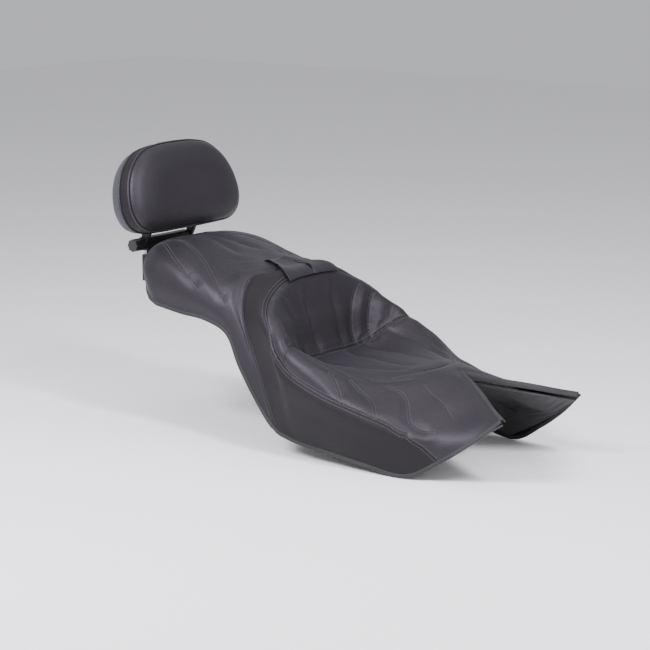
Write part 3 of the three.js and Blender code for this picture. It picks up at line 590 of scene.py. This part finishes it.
def metal(name, dark, light, rough, metallic=0.9, strength=0.12):
    n = Nodes(name)
    stretched = n.new("ShaderNodeMapping")
    n.link(n.where, stretched.inputs["Vector"])
    stretched.inputs["Scale"].default_value = (1.0, 0.12, 1.0)
    brushed = n.noise(900.0, 2.0, 0.5, stretched.outputs["Vector"])
    wear = n.noise(28.0, 5.0, 0.6)
    colour = n.mix(n.remap(wear, 0.35, 0.7, 0.0, 1.0), dark, light)
    roughness = n.remap(wear, 0.3, 0.75, rough + 0.1, rough - 0.06)
    n.set(Metallic=metallic)
    return n.finish(colour, roughness, n.bump(brushed, strength, 0.0003))


def foam_material(name, dark, light):
    n = Nodes(name)
    pores = n.cells(520.0)
    colour = n.mix(n.remap(pores, 0.0, 0.6, 0.0, 1.0), dark, light)
    return n.finish(colour, n.remap(n.noise(50.0), 0.0, 1.0, 0.86, 0.98), n.bump(pores, 0.6, 0.0008))


LOOKS = {
    "seat_leather": leather("seat_leather", (0.0084, 0.0073, 0.0088), (0.0146, 0.0127, 0.0157), 0.45),
    "skirt_leather": leather("skirt_leather", (0.0084, 0.0076, 0.0080), (0.0140, 0.0126, 0.0132), 0.56,
                             sheen=0.02, shine=0.22),
    "pouch_vinyl": leather("pouch_vinyl", (0.040, 0.040, 0.046), (0.062, 0.062, 0.070), 0.5, shade=False),
    # Piping: dark leather given a lighter colour than the seat leather, a painted highlight along the welts.
    "piping": leather("piping", (0.014, 0.0125, 0.0145), (0.024, 0.021, 0.025), 0.4, shade=False),
    "thread": plastic("thread", (0.040, 0.038, 0.043), (0.070, 0.066, 0.074), 0.6, 2600.0, 0.8),
    "foam": foam_material("foam", (0.22, 0.21, 0.17), (0.40, 0.38, 0.31)),
    "pan_plastic": plastic("pan_plastic", (0.012, 0.012, 0.013), (0.024, 0.024, 0.026), 0.5),
    "trim_rubber": plastic("trim_rubber", (0.009, 0.009, 0.010), (0.018, 0.018, 0.019), 0.7, 260.0, 0.35),
    "black_steel": metal("black_steel", (0.012, 0.012, 0.013), (0.030, 0.030, 0.032), 0.42, 0.35),
    "zinc_steel": metal("zinc_steel", (0.45, 0.45, 0.44), (0.66, 0.66, 0.65), 0.34, 1.0),
    "knob_plastic": plastic("knob_plastic", (0.011, 0.011, 0.012), (0.022, 0.022, 0.024), 0.45),
}

# ---------------------------------------------------------------- building pieces


def new_piece(name, points, faces, look, body="saddle"):
    mesh = bpy.data.meshes.new(name)
    mesh.from_pydata(np.asarray(points).tolist(), [], faces)
    mesh.polygons.foreach_set("use_smooth", np.full(len(mesh.polygons), True))
    mesh.materials.append(LOOKS[look])
    mesh.update()
    piece = bpy.data.objects.new(name, mesh)
    bpy.context.scene.collection.objects.link(piece)
    if body:
        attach(piece, body)
    return piece


def cell_mask(blocks):
    """Grid cells inside any of the blocks, each given as ribs and columns."""
    mid_u = (U[:-1] + U[1:]) / 2
    mid_t = (T[:-1] + T[1:]) / 2
    mask = np.zeros((len(mid_u), len(mid_t)), bool)
    for u0, u1, t0, t1 in blocks:
        mask |= ((mid_u > u0) & (mid_u < u1))[:, None] & ((mid_t > t0) & (mid_t < t1))[None, :]
    return mask


def sheet_shell(mask, top, under):
    """A closed shell over the masked cells; returns points, faces and the grid number of each top point."""
    rows, columns = top.shape[:2]
    number = np.arange(rows * columns).reshape(rows, columns)
    i, j = np.nonzero(mask)
    cells = np.stack([number[i, j], number[i + 1, j], number[i + 1, j + 1], number[i, j + 1]], 1)
    used = np.unique(cells)
    local = np.full(rows * columns, -1)
    local[used] = np.arange(len(used))
    cells = local[cells]
    count = len(used)
    edges = np.concatenate([cells[:, [k, (k + 1) % 4]] for k in range(4)])
    key = edges[:, 0] * count + edges[:, 1]
    back = edges[:, 1] * count + edges[:, 0]
    border = edges[~np.isin(key, back)]
    walls = np.stack([border[:, 1], border[:, 0], border[:, 0] + count, border[:, 1] + count], 1)
    faces = np.concatenate([cells, cells[:, ::-1] + count, walls])
    points = np.concatenate([top.reshape(-1, 3)[used], under.reshape(-1, 3)[used]])
    return points, faces, used, len(cells)


PANEL_THICKNESS = 1.6 * MM


def panel(name, blocks, look):
    """A leather panel over some blocks of the seat surface, with shading that runs on into its neighbours."""
    points, faces, used, count = sheet_shell(cell_mask(blocks), SKIN, SKIN - SKIN_NORMAL * PANEL_THICKNESS)
    piece = new_piece(name, points, faces.tolist(), look)
    shade = np.concatenate([SHADE.reshape(-1)[used]] * 2)
    # Painted shade for the seams and channels, carried on the panel as its shade attribute.
    piece.data.attributes.new("shade", "FLOAT", "POINT").data.foreach_set("value", shade)
    normals = np.zeros((len(faces) * 4, 3))
    loops = faces.reshape(-1)
    flat = SKIN_NORMAL.reshape(-1, 3)[used]
    top_loops = count * 4
    normals[:top_loops] = flat[loops[:top_loops]]
    normals[top_loops:2 * top_loops] = -flat[loops[top_loops:2 * top_loops] - len(used)]
    piece.data.normals_split_custom_set(normals.tolist())
    return piece


def frames_along(points, closed=False):
    """Unit tangents of a chain of points."""
    if closed:
        return unit(np.roll(points, -1, axis=0) - np.roll(points, 1, axis=0))
    return unit(np.gradient(points, axis=0))


def sweep(points, ups, profile, closed=False):
    """Rings of a profile (across, up) swept along points; returns points and faces with flat ends."""
    along = frames_along(points, closed)
    across = unit(np.cross(along, ups))
    up = np.cross(across, along)
    profile = np.asarray(profile, float)
    rings = points[:, None] + across[:, None] * profile[None, :, :1] + up[:, None] * profile[None, :, 1:]
    count, sides = rings.shape[:2]
    faces = []
    for i in range(count if closed else count - 1):
        a = i * sides
        b = ((i + 1) % count) * sides
        for k in range(sides):
            m = (k + 1) % sides
            faces.append((a + k, a + m, b + m, b + k))
    if not closed:
        faces.append(tuple(range(sides - 1, -1, -1)))
        faces.append(tuple((count - 1) * sides + k for k in range(sides)))
    return rings.reshape(-1, 3), faces


def ring_profile(radius):
    angles = np.linspace(0, 2 * math.pi, 12, endpoint=False)
    return np.stack([np.cos(angles) * radius, np.sin(angles) * radius], 1)


def on_skin(line, side=0.0):
    """Points and normals of the finished surface along a line, or beside it by a distance in mm."""
    points = sample(SKIN, line.u, line.t)
    normals = unit(sample(SKIN_NORMAL, line.u, line.t))
    if not side:
        return points, normals
    across = unit(np.cross(normals, frames_along(points)))
    wanted = line.points + across * (side * MM)
    step_u = np.gradient(BASE, U, axis=0)
    step_t = np.gradient(BASE, T, axis=1)
    u, t = line.u.copy(), line.t.copy()
    for _ in range(3):
        miss = wanted - sample(BASE, u, t)
        du, dt = sample(step_u, u, t), sample(step_t, u, t)
        a, b, c = (du * du).sum(1), (du * dt).sum(1), (dt * dt).sum(1)
        p, q = (miss * du).sum(1), (miss * dt).sum(1)
        det = np.maximum(a * c - b * b, 1e-12)
        u = u + (p * c - q * b) / det
        t = t + (q * a - p * b) / det
    return sample(SKIN, u, t), unit(sample(SKIN_NORMAL, u, t))


# ---------------------------------------------------------------- leather panels

PANELS = {
    "passenger_cover": ([(0, 7, -5, 5)], "seat_leather"),
    "bucket_back_panel": ([(8, 10, -3, 3)], "seat_leather"),
    "rider_seat_panel": ([(10, 13, -3, 3)], "seat_leather"),
    "nose_panel": ([(13, 14, -3, 3), (14, 16, -5, 5)], "seat_leather"),
    "left_side_panel": ([(7, 14, 3, 5), (7, 8, 1, 3)], "skirt_leather"),
    "right_side_panel": ([(7, 14, -5, -3), (7, 8, -3, -1)], "skirt_leather"),
    "slot_surround_panel": ([(7, 8, -1, 1)], "skirt_leather"),
}
for name, (blocks, look) in PANELS.items():
    piece = panel(name + "_leather", blocks, look)
    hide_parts(name)

# ---------------------------------------------------------------- slot opening, foam, flap

SLOT_X = -168 * MM
SLOT_HALF_X = 9 * MM
SLOT_HALF_Y = 28 * MM


def cut_box(piece, low, high):
    """Cut a box out of a piece."""
    mesh = bpy.data.meshes.new("cutter")
    corners = [(x, y, z) for x in (low[0], high[0]) for y in (low[1], high[1]) for z in (low[2], high[2])]
    sides = [(0, 1, 3, 2), (4, 6, 7, 5), (0, 4, 5, 1), (2, 3, 7, 6), (0, 2, 6, 4), (1, 5, 7, 3)]
    mesh.from_pydata(corners, [], sides)
    cutter = bpy.data.objects.new("cutter", mesh)
    bpy.context.scene.collection.objects.link(cutter)
    modifier = piece.modifiers.new("opening", "BOOLEAN")
    modifier.operation = "DIFFERENCE"
    modifier.object = cutter
    modifier.solver = "EXACT"
    cut = bpy.data.meshes.new_from_object(piece.evaluated_get(bpy.context.evaluated_depsgraph_get()))
    piece.modifiers.clear()
    piece.data = cut
    bpy.data.objects.remove(cutter)


slot_panel = bpy.data.objects["slot_surround_panel_leather"]
cut_box(slot_panel, (SLOT_X - SLOT_HALF_X, -SLOT_HALF_Y, 0.15), (SLOT_X + SLOT_HALF_X, SLOT_HALF_Y, 0.25))

# Depth of the seat pan below the outer surface by column, and how much of it each rib takes.
PAN_DEPTH = np.array([50, 50, 42, 24, 13, 8]) * MM
PAN_MIDDLE_SHARE = [0.05, 0.45, 0.9, 1, 1, 1, 1, 0.95, 0.5, 0.4, 0.7, 0.7, 0.75, 0.8, 0.5, 0.25, 0.1]
PAN_FLANK_SHARE = [0.05, 0.45, 0.9, 1, 1, 1, 0.9, 0.4, 0, 0, 0.2, 1, 1, 0.8, 0.5, 0.25, 0.1]
FOAM_TOP = 6.2 * MM
FOAM_FLOOR_GAP = 1.0 * MM
FOAM_THINNEST = 2.0 * MM
FOAM_LEAST = 0.6 * MM
FOAM_HEM = 4.6
FOAM_COLUMNS = 57
FOAM_ROWS_PER_RIB = 6


def foam_block(name, u0, u1, node):
    """The moulded foam between the cover and the pan, from one rib to another."""
    u = np.linspace(u0, u1, int((u1 - u0) * FOAM_ROWS_PER_RIB) + 1)
    t = np.linspace(-FOAM_HEM, FOAM_HEM, FOAM_COLUMNS)
    grid_u, grid_t = [a.reshape(-1) for a in np.meshgrid(u, t, indexing="ij")]
    shape = (len(u), len(t), 3)
    surface = sample(BASE, grid_u, grid_t)
    normals = unit(sample(NORMAL, grid_u, grid_t))
    middle = np.interp(grid_u, range(17), PAN_MIDDLE_SHARE)
    side = np.interp(grid_u, range(17), PAN_FLANK_SHARE)
    share = middle + (side - middle) * np.clip(np.abs(grid_t) - 1, 0, 1)
    full = np.interp(np.abs(grid_t), range(6), PAN_DEPTH)
    depth = PAN_DEPTH[-1] + (full - PAN_DEPTH[-1]) * share
    top = (surface - normals * FOAM_TOP).reshape(shape)
    lowest = np.maximum(depth - FOAM_FLOOR_GAP, FOAM_TOP + FOAM_LEAST)
    under = (surface - normals * lowest[:, None]).reshape(shape)
    # No foam where the cover all but lies on the pan.
    thick = (depth - FOAM_FLOOR_GAP - FOAM_TOP).reshape(shape[:2]) > FOAM_THINNEST
    mask = thick[:-1, :-1] & thick[1:, :-1] & thick[1:, 1:] & thick[:-1, 1:]
    points, faces, _, _ = sheet_shell(mask, top, under)
    piece = new_piece(name, points, faces.tolist(), "foam")
    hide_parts(node)
    return piece


passenger_foam = foam_block("passenger_foam_block", 0.3, 7.98, "passenger_foam")
cut_box(passenger_foam, (SLOT_X - 0.014, -0.033, 0.13), (SLOT_X + 0.014, 0.033, 0.25))
foam_block("rider_foam_block", 8.02, 15.3, "rider_foam")

# Leather flap over the slot, narrow at its sewn edge and flared at the rim of the bucket. Its half-width is
# in columns along the ribs. A slit runs in from its front edge, starting beside its left edge.
FLAP_REAR = 5.0
FLAP_FRONT = 8.15
FLAP_NECK = 0.40
FLAP_WAIST = 0.55
FLAP_FLARE = 1.02
FLAP_THICKNESS = 1.8 * MM
FLAP_SPLIT = 0.8
SLIT_START = 6.4
SLIT_END_T = 0.02
# Half the slit's opening in columns, shut and at its widest.
SLIT_SHUT = 0.004
SLIT_OPEN = 0.085
# How far the flap stands off the padding, its edges curl up and its sewn end is tucked in, in mm.
FLAP_STAND = 1.4
FLAP_CURL = 3.4
FLAP_TUCK = 0.6
SLIT_CURL = 1.5 * MM


def slot_flap():
    rows, columns = 120, 90
    u = np.linspace(FLAP_REAR, FLAP_FRONT, rows)
    share = np.linspace(-1, 1, columns)
    split = int(np.searchsorted(share, FLAP_SPLIT))
    edge = FLAP_NECK + (FLAP_WAIST - FLAP_NECK) * smoothstep(u, FLAP_REAR, 6.6)
    edge += (FLAP_FLARE - FLAP_WAIST) * smoothstep(u, 6.7, 8.05)
    towards_front = smoothstep(u, SLIT_START, FLAP_FRONT)
    slit = FLAP_SPLIT * edge * (1 - towards_front) + SLIT_END_T * towards_front
    parting = SLIT_SHUT + SLIT_OPEN * smoothstep(u, SLIT_START, 7.5) * (1 - smoothstep(u, 7.7, FLAP_FRONT))
    low_half = np.linspace(0, 1, split)
    high_half = np.linspace(0, 1, columns - split)
    near_part = -edge[:, None] + (slit - parting + edge)[:, None] * low_half
    far_part = (slit + parting)[:, None] + (edge - slit - parting)[:, None] * high_half
    grid_t = np.concatenate([near_part, far_part], axis=1)
    grid_u = np.repeat(u[:, None], columns, 1)
    flat_u, flat_t = grid_u.reshape(-1), grid_t.reshape(-1)
    shell = sample(BASE + swell, flat_u, flat_t)
    normals = unit(sample(NORMAL, flat_u, flat_t))
    rise = smoothstep(flat_u, FLAP_REAR, 5.7)
    to_edge = np.abs(grid_t / edge[:, None]).reshape(-1)
    lift = (FLAP_STAND + FLAP_CURL * smoothstep(to_edge, 0.45, 1.0)) * MM * rise - FLAP_TUCK * MM * (1 - rise)
    lift *= 1 - 0.6 * smoothstep(flat_u, 7.6, FLAP_FRONT)
    beside_slit = np.exp(-((flat_t - np.repeat(slit, columns)) / 0.12) ** 2) * smoothstep(flat_u, 6.9, 7.7)
    lift += SLIT_CURL * beside_slit
    top = shell + normals * (RAISE + lift + FLAP_THICKNESS * rise)[:, None]
    under = top - normals * (FLAP_THICKNESS * (0.3 + 0.7 * rise))[:, None]
    mask = np.ones((rows - 1, columns - 1), bool)
    mask[u[:-1] > SLIT_START, split - 1] = False
    points, faces, _, _ = sheet_shell(mask, top.reshape(rows, columns, 3), under.reshape(rows, columns, 3))
    piece = new_piece("slot_flap_leather", points, faces.tolist(), "seat_leather", body=None)
    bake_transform(piece)
    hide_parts("slot_flap")


slot_flap()

# ---------------------------------------------------------------- welts, hem band and stitching

WELT_RADIUS = 1.7 * MM
WELT_END = SIDE_CURVE[-1][0]
for side, sign in (("left", 1), ("right", -1)):
    line = Line([(u, sign * t) for u, t in RIM_CURVE + SIDE_CURVE[1:]], step=2.5 * MM)
    points, normals = on_skin(line)
    # The welt stands proud round the bucket and sinks into the seam towards the nose.
    sunk = smoothstep(line.u, 9.3, 10.4)
    height = 1.4 * (1 - sunk) - 0.2 * sunk - 1.4 * smoothstep(line.u, WELT_END - 0.7, WELT_END)
    raised = points + normals * (height * MM)[:, None]
    rings, faces = sweep(raised, normals, ring_profile(WELT_RADIUS))
    welt = new_piece(f"bucket_welt_{side}_piping", rings, faces, "piping")
    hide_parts(f"bucket_welt_{side}")

HEM_OUT = 3.6 * MM
BAND_STEP = 3 * MM
# Profiles of the trim, as distances outward and up from the hem in mm.
TRIM_TOP = [(-5.2, 0.1), (-4.6, 0.7), (-3.6, 1.1), (0.8, 1.1), (1.5, 0.8), (1.9, 0.2)]
TRIM_END = [(-4.6, -2.4), (-5.2, -1.9)]
HEM_PROFILE = TRIM_TOP + [(1.9, -1.9), (1.5, -2.5), (0.8, -2.7), (-3.6, -2.7)] + TRIM_END
# Round the notch for the tank the binding also closes the space between the cover and the pan.
NOSE_PROFILE = TRIM_TOP + [(1.9, -9.2), (1.4, -9.8), (-0.4, -9.8), (-1.0, -9.2), (-1.0, -2.7)] + TRIM_END


def border_band(name, chain, chain_normals, node, profile):
    """A band clipped along a border of the cover."""
    run = run_along(chain)
    even = np.linspace(0, run[-1], int(run[-1] / BAND_STEP) + 1)
    points = eased(read_along(run, chain, even), 3)
    ups = unit(eased(read_along(run, chain_normals, even), 6))
    out = unit(np.cross(frames_along(points), ups))
    rings, faces = sweep(points + out * HEM_OUT, ups, np.array(profile) * MM)
    piece = new_piece(name, rings, faces, "trim_rubber")
    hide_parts(node)


def border_of(grid):
    return np.concatenate([grid[::-1, -1], grid[0, -2:0:-1], grid[:, 0]])


border_band("hem_trim_band", border_of(SKIN), border_of(SKIN_NORMAL), "hem_trim", HEM_PROFILE)
border_band("nose_binding_band", SKIN[-1], SKIN_NORMAL[-1], "nose_binding", NOSE_PROFILE)

STITCH = 3.6 * MM
STITCH_PITCH = 4.8 * MM
THREAD_RADIUS = 0.5 * MM


def stitches(name, rows, body="saddle"):
    """One mesh of short thread spindles along rows of points and normals."""
    all_points, all_faces, count = [], [], 0
    sides = 5
    angles = np.linspace(0, 2 * math.pi, sides, endpoint=False)
    for points, normals in rows:
        run = run_along(points)
        starts = np.arange(0, run[-1] - STITCH, STITCH_PITCH)
        for start in starts:
            at = start + np.array([0.0, 0.2, 0.8, 1.0]) * STITCH
            core = read_along(run, points, at)
            up = unit(read_along(run, normals, at))
            core = core + up * np.array([-0.25, 0.25, 0.25, -0.25])[:, None] * MM
            along = unit(core[-1] - core[0])
            across = unit(np.cross(along, up))
            radius = np.array([0.45, 1.0, 1.0, 0.45])[:, None, None] * THREAD_RADIUS
            ring = core[:, None] + radius * (across[:, None] * np.cos(angles)[None, :, None]
                                             + up[:, None] * np.sin(angles)[None, :, None])
            all_points.append(ring.reshape(-1, 3))
            for i in range(3):
                a = count + i * sides
                for k in range(sides):
                    m = (k + 1) % sides
                    all_faces.append((a + k, a + m, a + sides + m, a + sides + k))
            all_faces.append(tuple(count + k for k in range(sides - 1, -1, -1)))
            all_faces.append(tuple(count + 3 * sides + k for k in range(sides)))
            count += 4 * sides
    return new_piece(name, np.concatenate(all_points), all_faces, "thread", body=body)


# Rows of stitching beside each seam, by their distance from it in mm.
SEAM_ROWS = {"bucket_rim": (-6.0,), "side": (-5.5, 5.5), "cross": (-4.5, 4.5), "rear_side": (-3.4, 3.4),
             "skirt_front": (-3.4, 3.4)}
CHANNEL_ROWS = {0: (), 1: (0.0,), 2: (-2.6, 2.6)}
rows = []
for name, offsets in SEAM_ROWS.items():
    for curve in SEAMS[name][2]:
        line = Line(curve)
        rows += [on_skin(line, offset) for offset in offsets]
for _, _, _, stitch_rows, sides, *arc in CHANNELS:
    for c in channel_curves(sides, *arc):
        line = Line(c)
        rows += [on_skin(line, offset) for offset in CHANNEL_ROWS[stitch_rows]]
rows.append(on_skin(Line(NOSE_FOLD[2])))
rows += [on_skin(Line(c)) for c in channel_curves(BOTH, *BOLSTER_SEAM[2:])]
stitches("seat_stitching", rows)

# ---------------------------------------------------------------- backrest pad

PAD_ORIGIN = np.array([-417, 0, 260]) * MM
PAD_LEAN = math.radians(15)
PAD_UP = np.array([-math.sin(PAD_LEAN), 0, math.cos(PAD_LEAN)])
PAD_FORWARD = np.array([math.cos(PAD_LEAN), 0, math.sin(PAD_LEAN)])
PAD_OUTLINE = np.array([
    [0, 0], [70, 0], [110, 3], [135, 16], [147, 40], [148, 62],
    [141, 92], [123, 122], [92, 146], [48, 156], [0, 158],
]) * MM
PAD_MIDDLE = 72 * MM
PAD_AROUND = 160
FACE_SECTIONS = np.array([[0, 0], [7, 3], [15, 13], [21, 32], [24.5, 52], [25.5, 66]]) * MM
REAR_SECTIONS = np.array([[-24, 0], [-40, 2.5], [-51, 10], [-58, 26], [-60, 46]]) * MM
BAND_REAR = -24 * MM
COVER = 1.8 * MM
LONG_SPOKE = 110 * MM
DEEPEST_INSET = 66 * MM
PAD_WELT_RADIUS = 1.9 * MM
PAD_GROWTH = 0.01
PAD_SWELL_CAP = 5 * MM


def pad_outline():
    half = through(np.column_stack([PAD_OUTLINE, np.zeros(len(PAD_OUTLINE))]), np.linspace(0, 10, 400))[:, :2]
    whole = np.concatenate([half, half[-2:0:-1] * np.array([-1, 1]), half[:1]])
    run = run_along(whole)
    even = np.linspace(0, run[-1], PAD_AROUND, endpoint=False)
    return read_along(run, whole, even)


OUTLINE = pad_outline()


def pad_ring(forward, inset):
    """The outline drawn in by a distance, at a distance forward of the front seam."""
    spoke = OUTLINE - np.array([0, PAD_MIDDLE])
    reach = np.linalg.norm(spoke, axis=1, keepdims=True)
    # Deep rings keep clear of the middle where the outline is near to it.
    inset = inset * np.minimum(1, reach / LONG_SPOKE) ** (max(inset, 0) / DEEPEST_INSET)
    spoke = spoke * (reach - inset) / reach
    flat = spoke + np.array([0, PAD_MIDDLE])
    return (PAD_ORIGIN + flat[:, 1:] * PAD_UP + forward * PAD_FORWARD
            + flat[:, :1] * np.array([0, 1, 0]))


def pad_rings(sections, count):
    """Rings through a few sections, at even steps."""
    knots = np.column_stack([sections, np.zeros(len(sections))])
    smooth = through(knots, np.linspace(0, len(knots) - 1, count))
    return [pad_ring(forward, inset) for forward, inset, _ in smooth]


def centred_rings(rings, count):
    """Further rings that shrink from the last one to the middle of the pad."""
    middle = rings[-1].mean(axis=0)
    return rings + [middle + (rings[-1] - middle) * (1 - (k + 1) / (count + 0.15)) for k in range(count)]


def ring_normals(rings):
    grid = np.array(rings)
    along = np.gradient(grid, axis=0)
    around = np.roll(grid, -1, axis=1) - np.roll(grid, 1, axis=1)
    return unit(np.cross(around, along))


def ring_faces(rows, start=0, flip=False, cap=False):
    faces = []
    for i in range(rows - 1):
        for k in range(PAD_AROUND):
            m = (k + 1) % PAD_AROUND
            a, b = start + i * PAD_AROUND, start + (i + 1) * PAD_AROUND
            face = (a + k, a + m, b + m, b + k)
            faces.append(face[::-1] if flip else face)
    if cap:
        last = tuple(start + (rows - 1) * PAD_AROUND + k for k in range(PAD_AROUND))
        faces.append(last[::-1] if flip else last)
    return faces


def ring_shell(name, outer, inner, look, capped_end):
    """A closed shell between two sets of rings; with a cap each set ends in the middle of the pad."""
    rows = len(outer)
    second = rows * PAD_AROUND
    points = np.concatenate([np.array(outer).reshape(-1, 3), np.array(inner).reshape(-1, 3)])
    faces = ring_faces(rows, 0, False, capped_end) + ring_faces(rows, second, True, capped_end)
    for k in range(PAD_AROUND):
        m = (k + 1) % PAD_AROUND
        faces.append((m, k, second + k, second + m))
        if not capped_end:
            end = (rows - 1) * PAD_AROUND
            faces.append((end + k, end + m, second + end + m, second + end + k))
    return new_piece(name, points, faces, look, body="backrest")


def evened(rings, times):
    """Average a field on rings with its neighbours, its first ring held and its last made level."""
    for _ in range(times):
        rings = (2 * rings + np.roll(rings, 1, axis=1) + np.roll(rings, -1, axis=1)) / 4
        rings = eased(rings, 1)
        rings[-1] = rings[-1].mean(axis=0)
    return rings


face_rings = np.array(centred_rings(pad_rings(FACE_SECTIONS, 26), 12))
face_normals = ring_normals(face_rings)
if face_normals[4, :, 0].mean() < 0:
    face_normals = -face_normals
hold = np.concatenate([np.linspace(1, 0.3, 5), np.full(len(face_rings) - 5, 0.3)])
hold = np.repeat(hold, PAD_AROUND)
face_mesh = ring_faces(len(face_rings), cap=True)
moved = inflate(face_rings.reshape(-1, 3), face_mesh, hold, PAD_GROWTH, CLOTH_PRESSURE)
moved = evened(capped(moved, PAD_SWELL_CAP).reshape(face_rings.shape), 60)
count = len(face_rings)
level = smoothstep(np.arange(count), count - 24, count - 12)[:, None, None]
face_rings = face_rings + moved * (1 - level) + moved[count - 18].mean(axis=0) * level
tuck = 2.2 * MM * valley(np.arange(len(face_rings)) * 2.0 * MM, 7 * MM)
face_rings = face_rings - face_normals * tuck[:, None, None]
face_inside = face_rings - face_normals * COVER
backrest_face = ring_shell("backrest_face_leather", face_rings, face_inside, "seat_leather", True)
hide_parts("backrest_face")

band_stations = np.linspace(0, 1, 15)
from_welt = np.minimum(band_stations, 1 - band_stations) * 24
bulge = (1.0 * np.sin(math.pi * band_stations) - 1.6 * valley(from_welt, 5)) * MM
band_outer = np.array([pad_ring(BAND_REAR * (1 - s), -b) for s, b in zip(band_stations, bulge)])
band_inner = np.array([pad_ring(BAND_REAR * (1 - s), COVER - b) for s, b in zip(band_stations, bulge)])
backrest_band = ring_shell("backrest_band_leather", band_outer, band_inner, "skirt_leather", False)
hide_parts("backrest_band")

rear_rings = np.array(centred_rings(pad_rings(REAR_SECTIONS, 22), 10))
rear_normals = ring_normals(rear_rings)
if rear_normals[-3, :, 0].mean() > 0:
    rear_normals = -rear_normals
rear_tuck = 1.8 * MM * valley(np.arange(len(rear_rings)) * 2.4 * MM, 6 * MM)
rear_rings = rear_rings - rear_normals * rear_tuck[:, None, None]
rear_inside = rear_rings - rear_normals * COVER
rear_cover = ring_shell("backrest_rear_vinyl", rear_rings, rear_inside, "pouch_vinyl", True)
cut_box(rear_cover, (-0.52, -0.074, 0.2), (-0.44, 0.074, 0.283))
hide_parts("backrest_rear_cover")

inset = COVER + 0.6 * MM
foam_sections = FACE_SECTIONS + np.array([-3.6 * MM, inset])
foam_rings = [pad_ring(BAND_REAR + 0.4 * MM, inset)] + pad_rings(foam_sections, 16)
foam_points = np.concatenate(foam_rings)
foam_faces = ring_faces(len(foam_rings), cap=True) + [tuple(range(PAD_AROUND - 1, -1, -1))]
backrest_foam = new_piece("backrest_foam_block", foam_points, foam_faces, "foam", body="backrest")
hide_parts("backrest_foam")

for name, forward in (("front", 0.0), ("rear", BAND_REAR)):
    ring = pad_ring(forward, -0.6 * MM)
    outward = unit(ring - (PAD_ORIGIN + PAD_UP * PAD_MIDDLE + PAD_FORWARD * forward))
    rings, faces = sweep(ring, outward, ring_profile(PAD_WELT_RADIUS), closed=True)
    welt = new_piece(f"backrest_welt_{name}_piping", rings, faces, "piping", body="backrest")
    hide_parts(f"backrest_welt_{name}")

# ---------------------------------------------------------------- finishes on the carried-over nodes

for row in frame["record"]["subparts"]:
    node = frame["nodes"][row["node"]]
    if not node.data.materials:
        node.data.materials.append(None)
    for place in range(len(node.data.materials)):
        node.material_slots[place].material = LOOKS[row["material_slot"]]

# ---------------------------------------------------------------- floor and light

FLOOR_GAP = 0.0005
floor_z = min(corner[2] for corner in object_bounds()) - FLOOR_GAP
bpy.ops.mesh.primitive_plane_add(size=12, location=(0, 0, floor_z))
floor = bpy.context.object
floor.name = "floor"
n = Nodes("floor")
n.finish(
    n.mix(n.noise(1.5, 3.0), (0.90, 0.90, 0.90), (0.93, 0.93, 0.93)),
    n.remap(n.noise(8.0), 0.0, 1.0, 0.75, 0.85),
    n.bump(n.noise(300.0), 0.03, 0.0003),
)
floor.data.materials.append(n.material)
floor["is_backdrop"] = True

world = bpy.data.worlds.new("studio")
bpy.context.scene.world = world
world.use_nodes = True
world.node_tree.nodes["Background"].inputs["Color"].default_value = (0.95, 0.96, 1.0, 1.0)
world.node_tree.nodes["Background"].inputs["Strength"].default_value = 0.6


def area_light(name, place, aim, size, power, colour=(1, 1, 1)):
    data = bpy.data.lights.new(name, "AREA")
    data.shape = "RECTANGLE"
    data.size, data.size_y = size
    data.energy = power
    data.color = colour
    light = bpy.data.objects.new(name, data)
    light.location = place
    light.rotation_euler = (Vector(aim) - Vector(place)).to_track_quat("-Z", "Y").to_euler()
    bpy.context.scene.collection.objects.link(light)


area_light("overhead", (-0.3, 0.3, 2.4), (-0.1, 0, 0.1), (1.6, 1.2), 12, (1.0, 0.98, 1.0))
area_light("side_key", (-0.5, -1.7, 1.6), (0.05, -0.15, 0.05), (0.8, 0.8), 90, (0.92, 0.90, 1.0))
area_light("front_key", (1.35, -0.45, 1.7), (-0.42, -0.05, 0.33), (0.3, 0.9), 52, (0.92, 0.91, 1.0))
area_light("right_fill", (2.2, -1.4, 1.0), (0, 0, 0.05), (1.6, 1.2), 14)
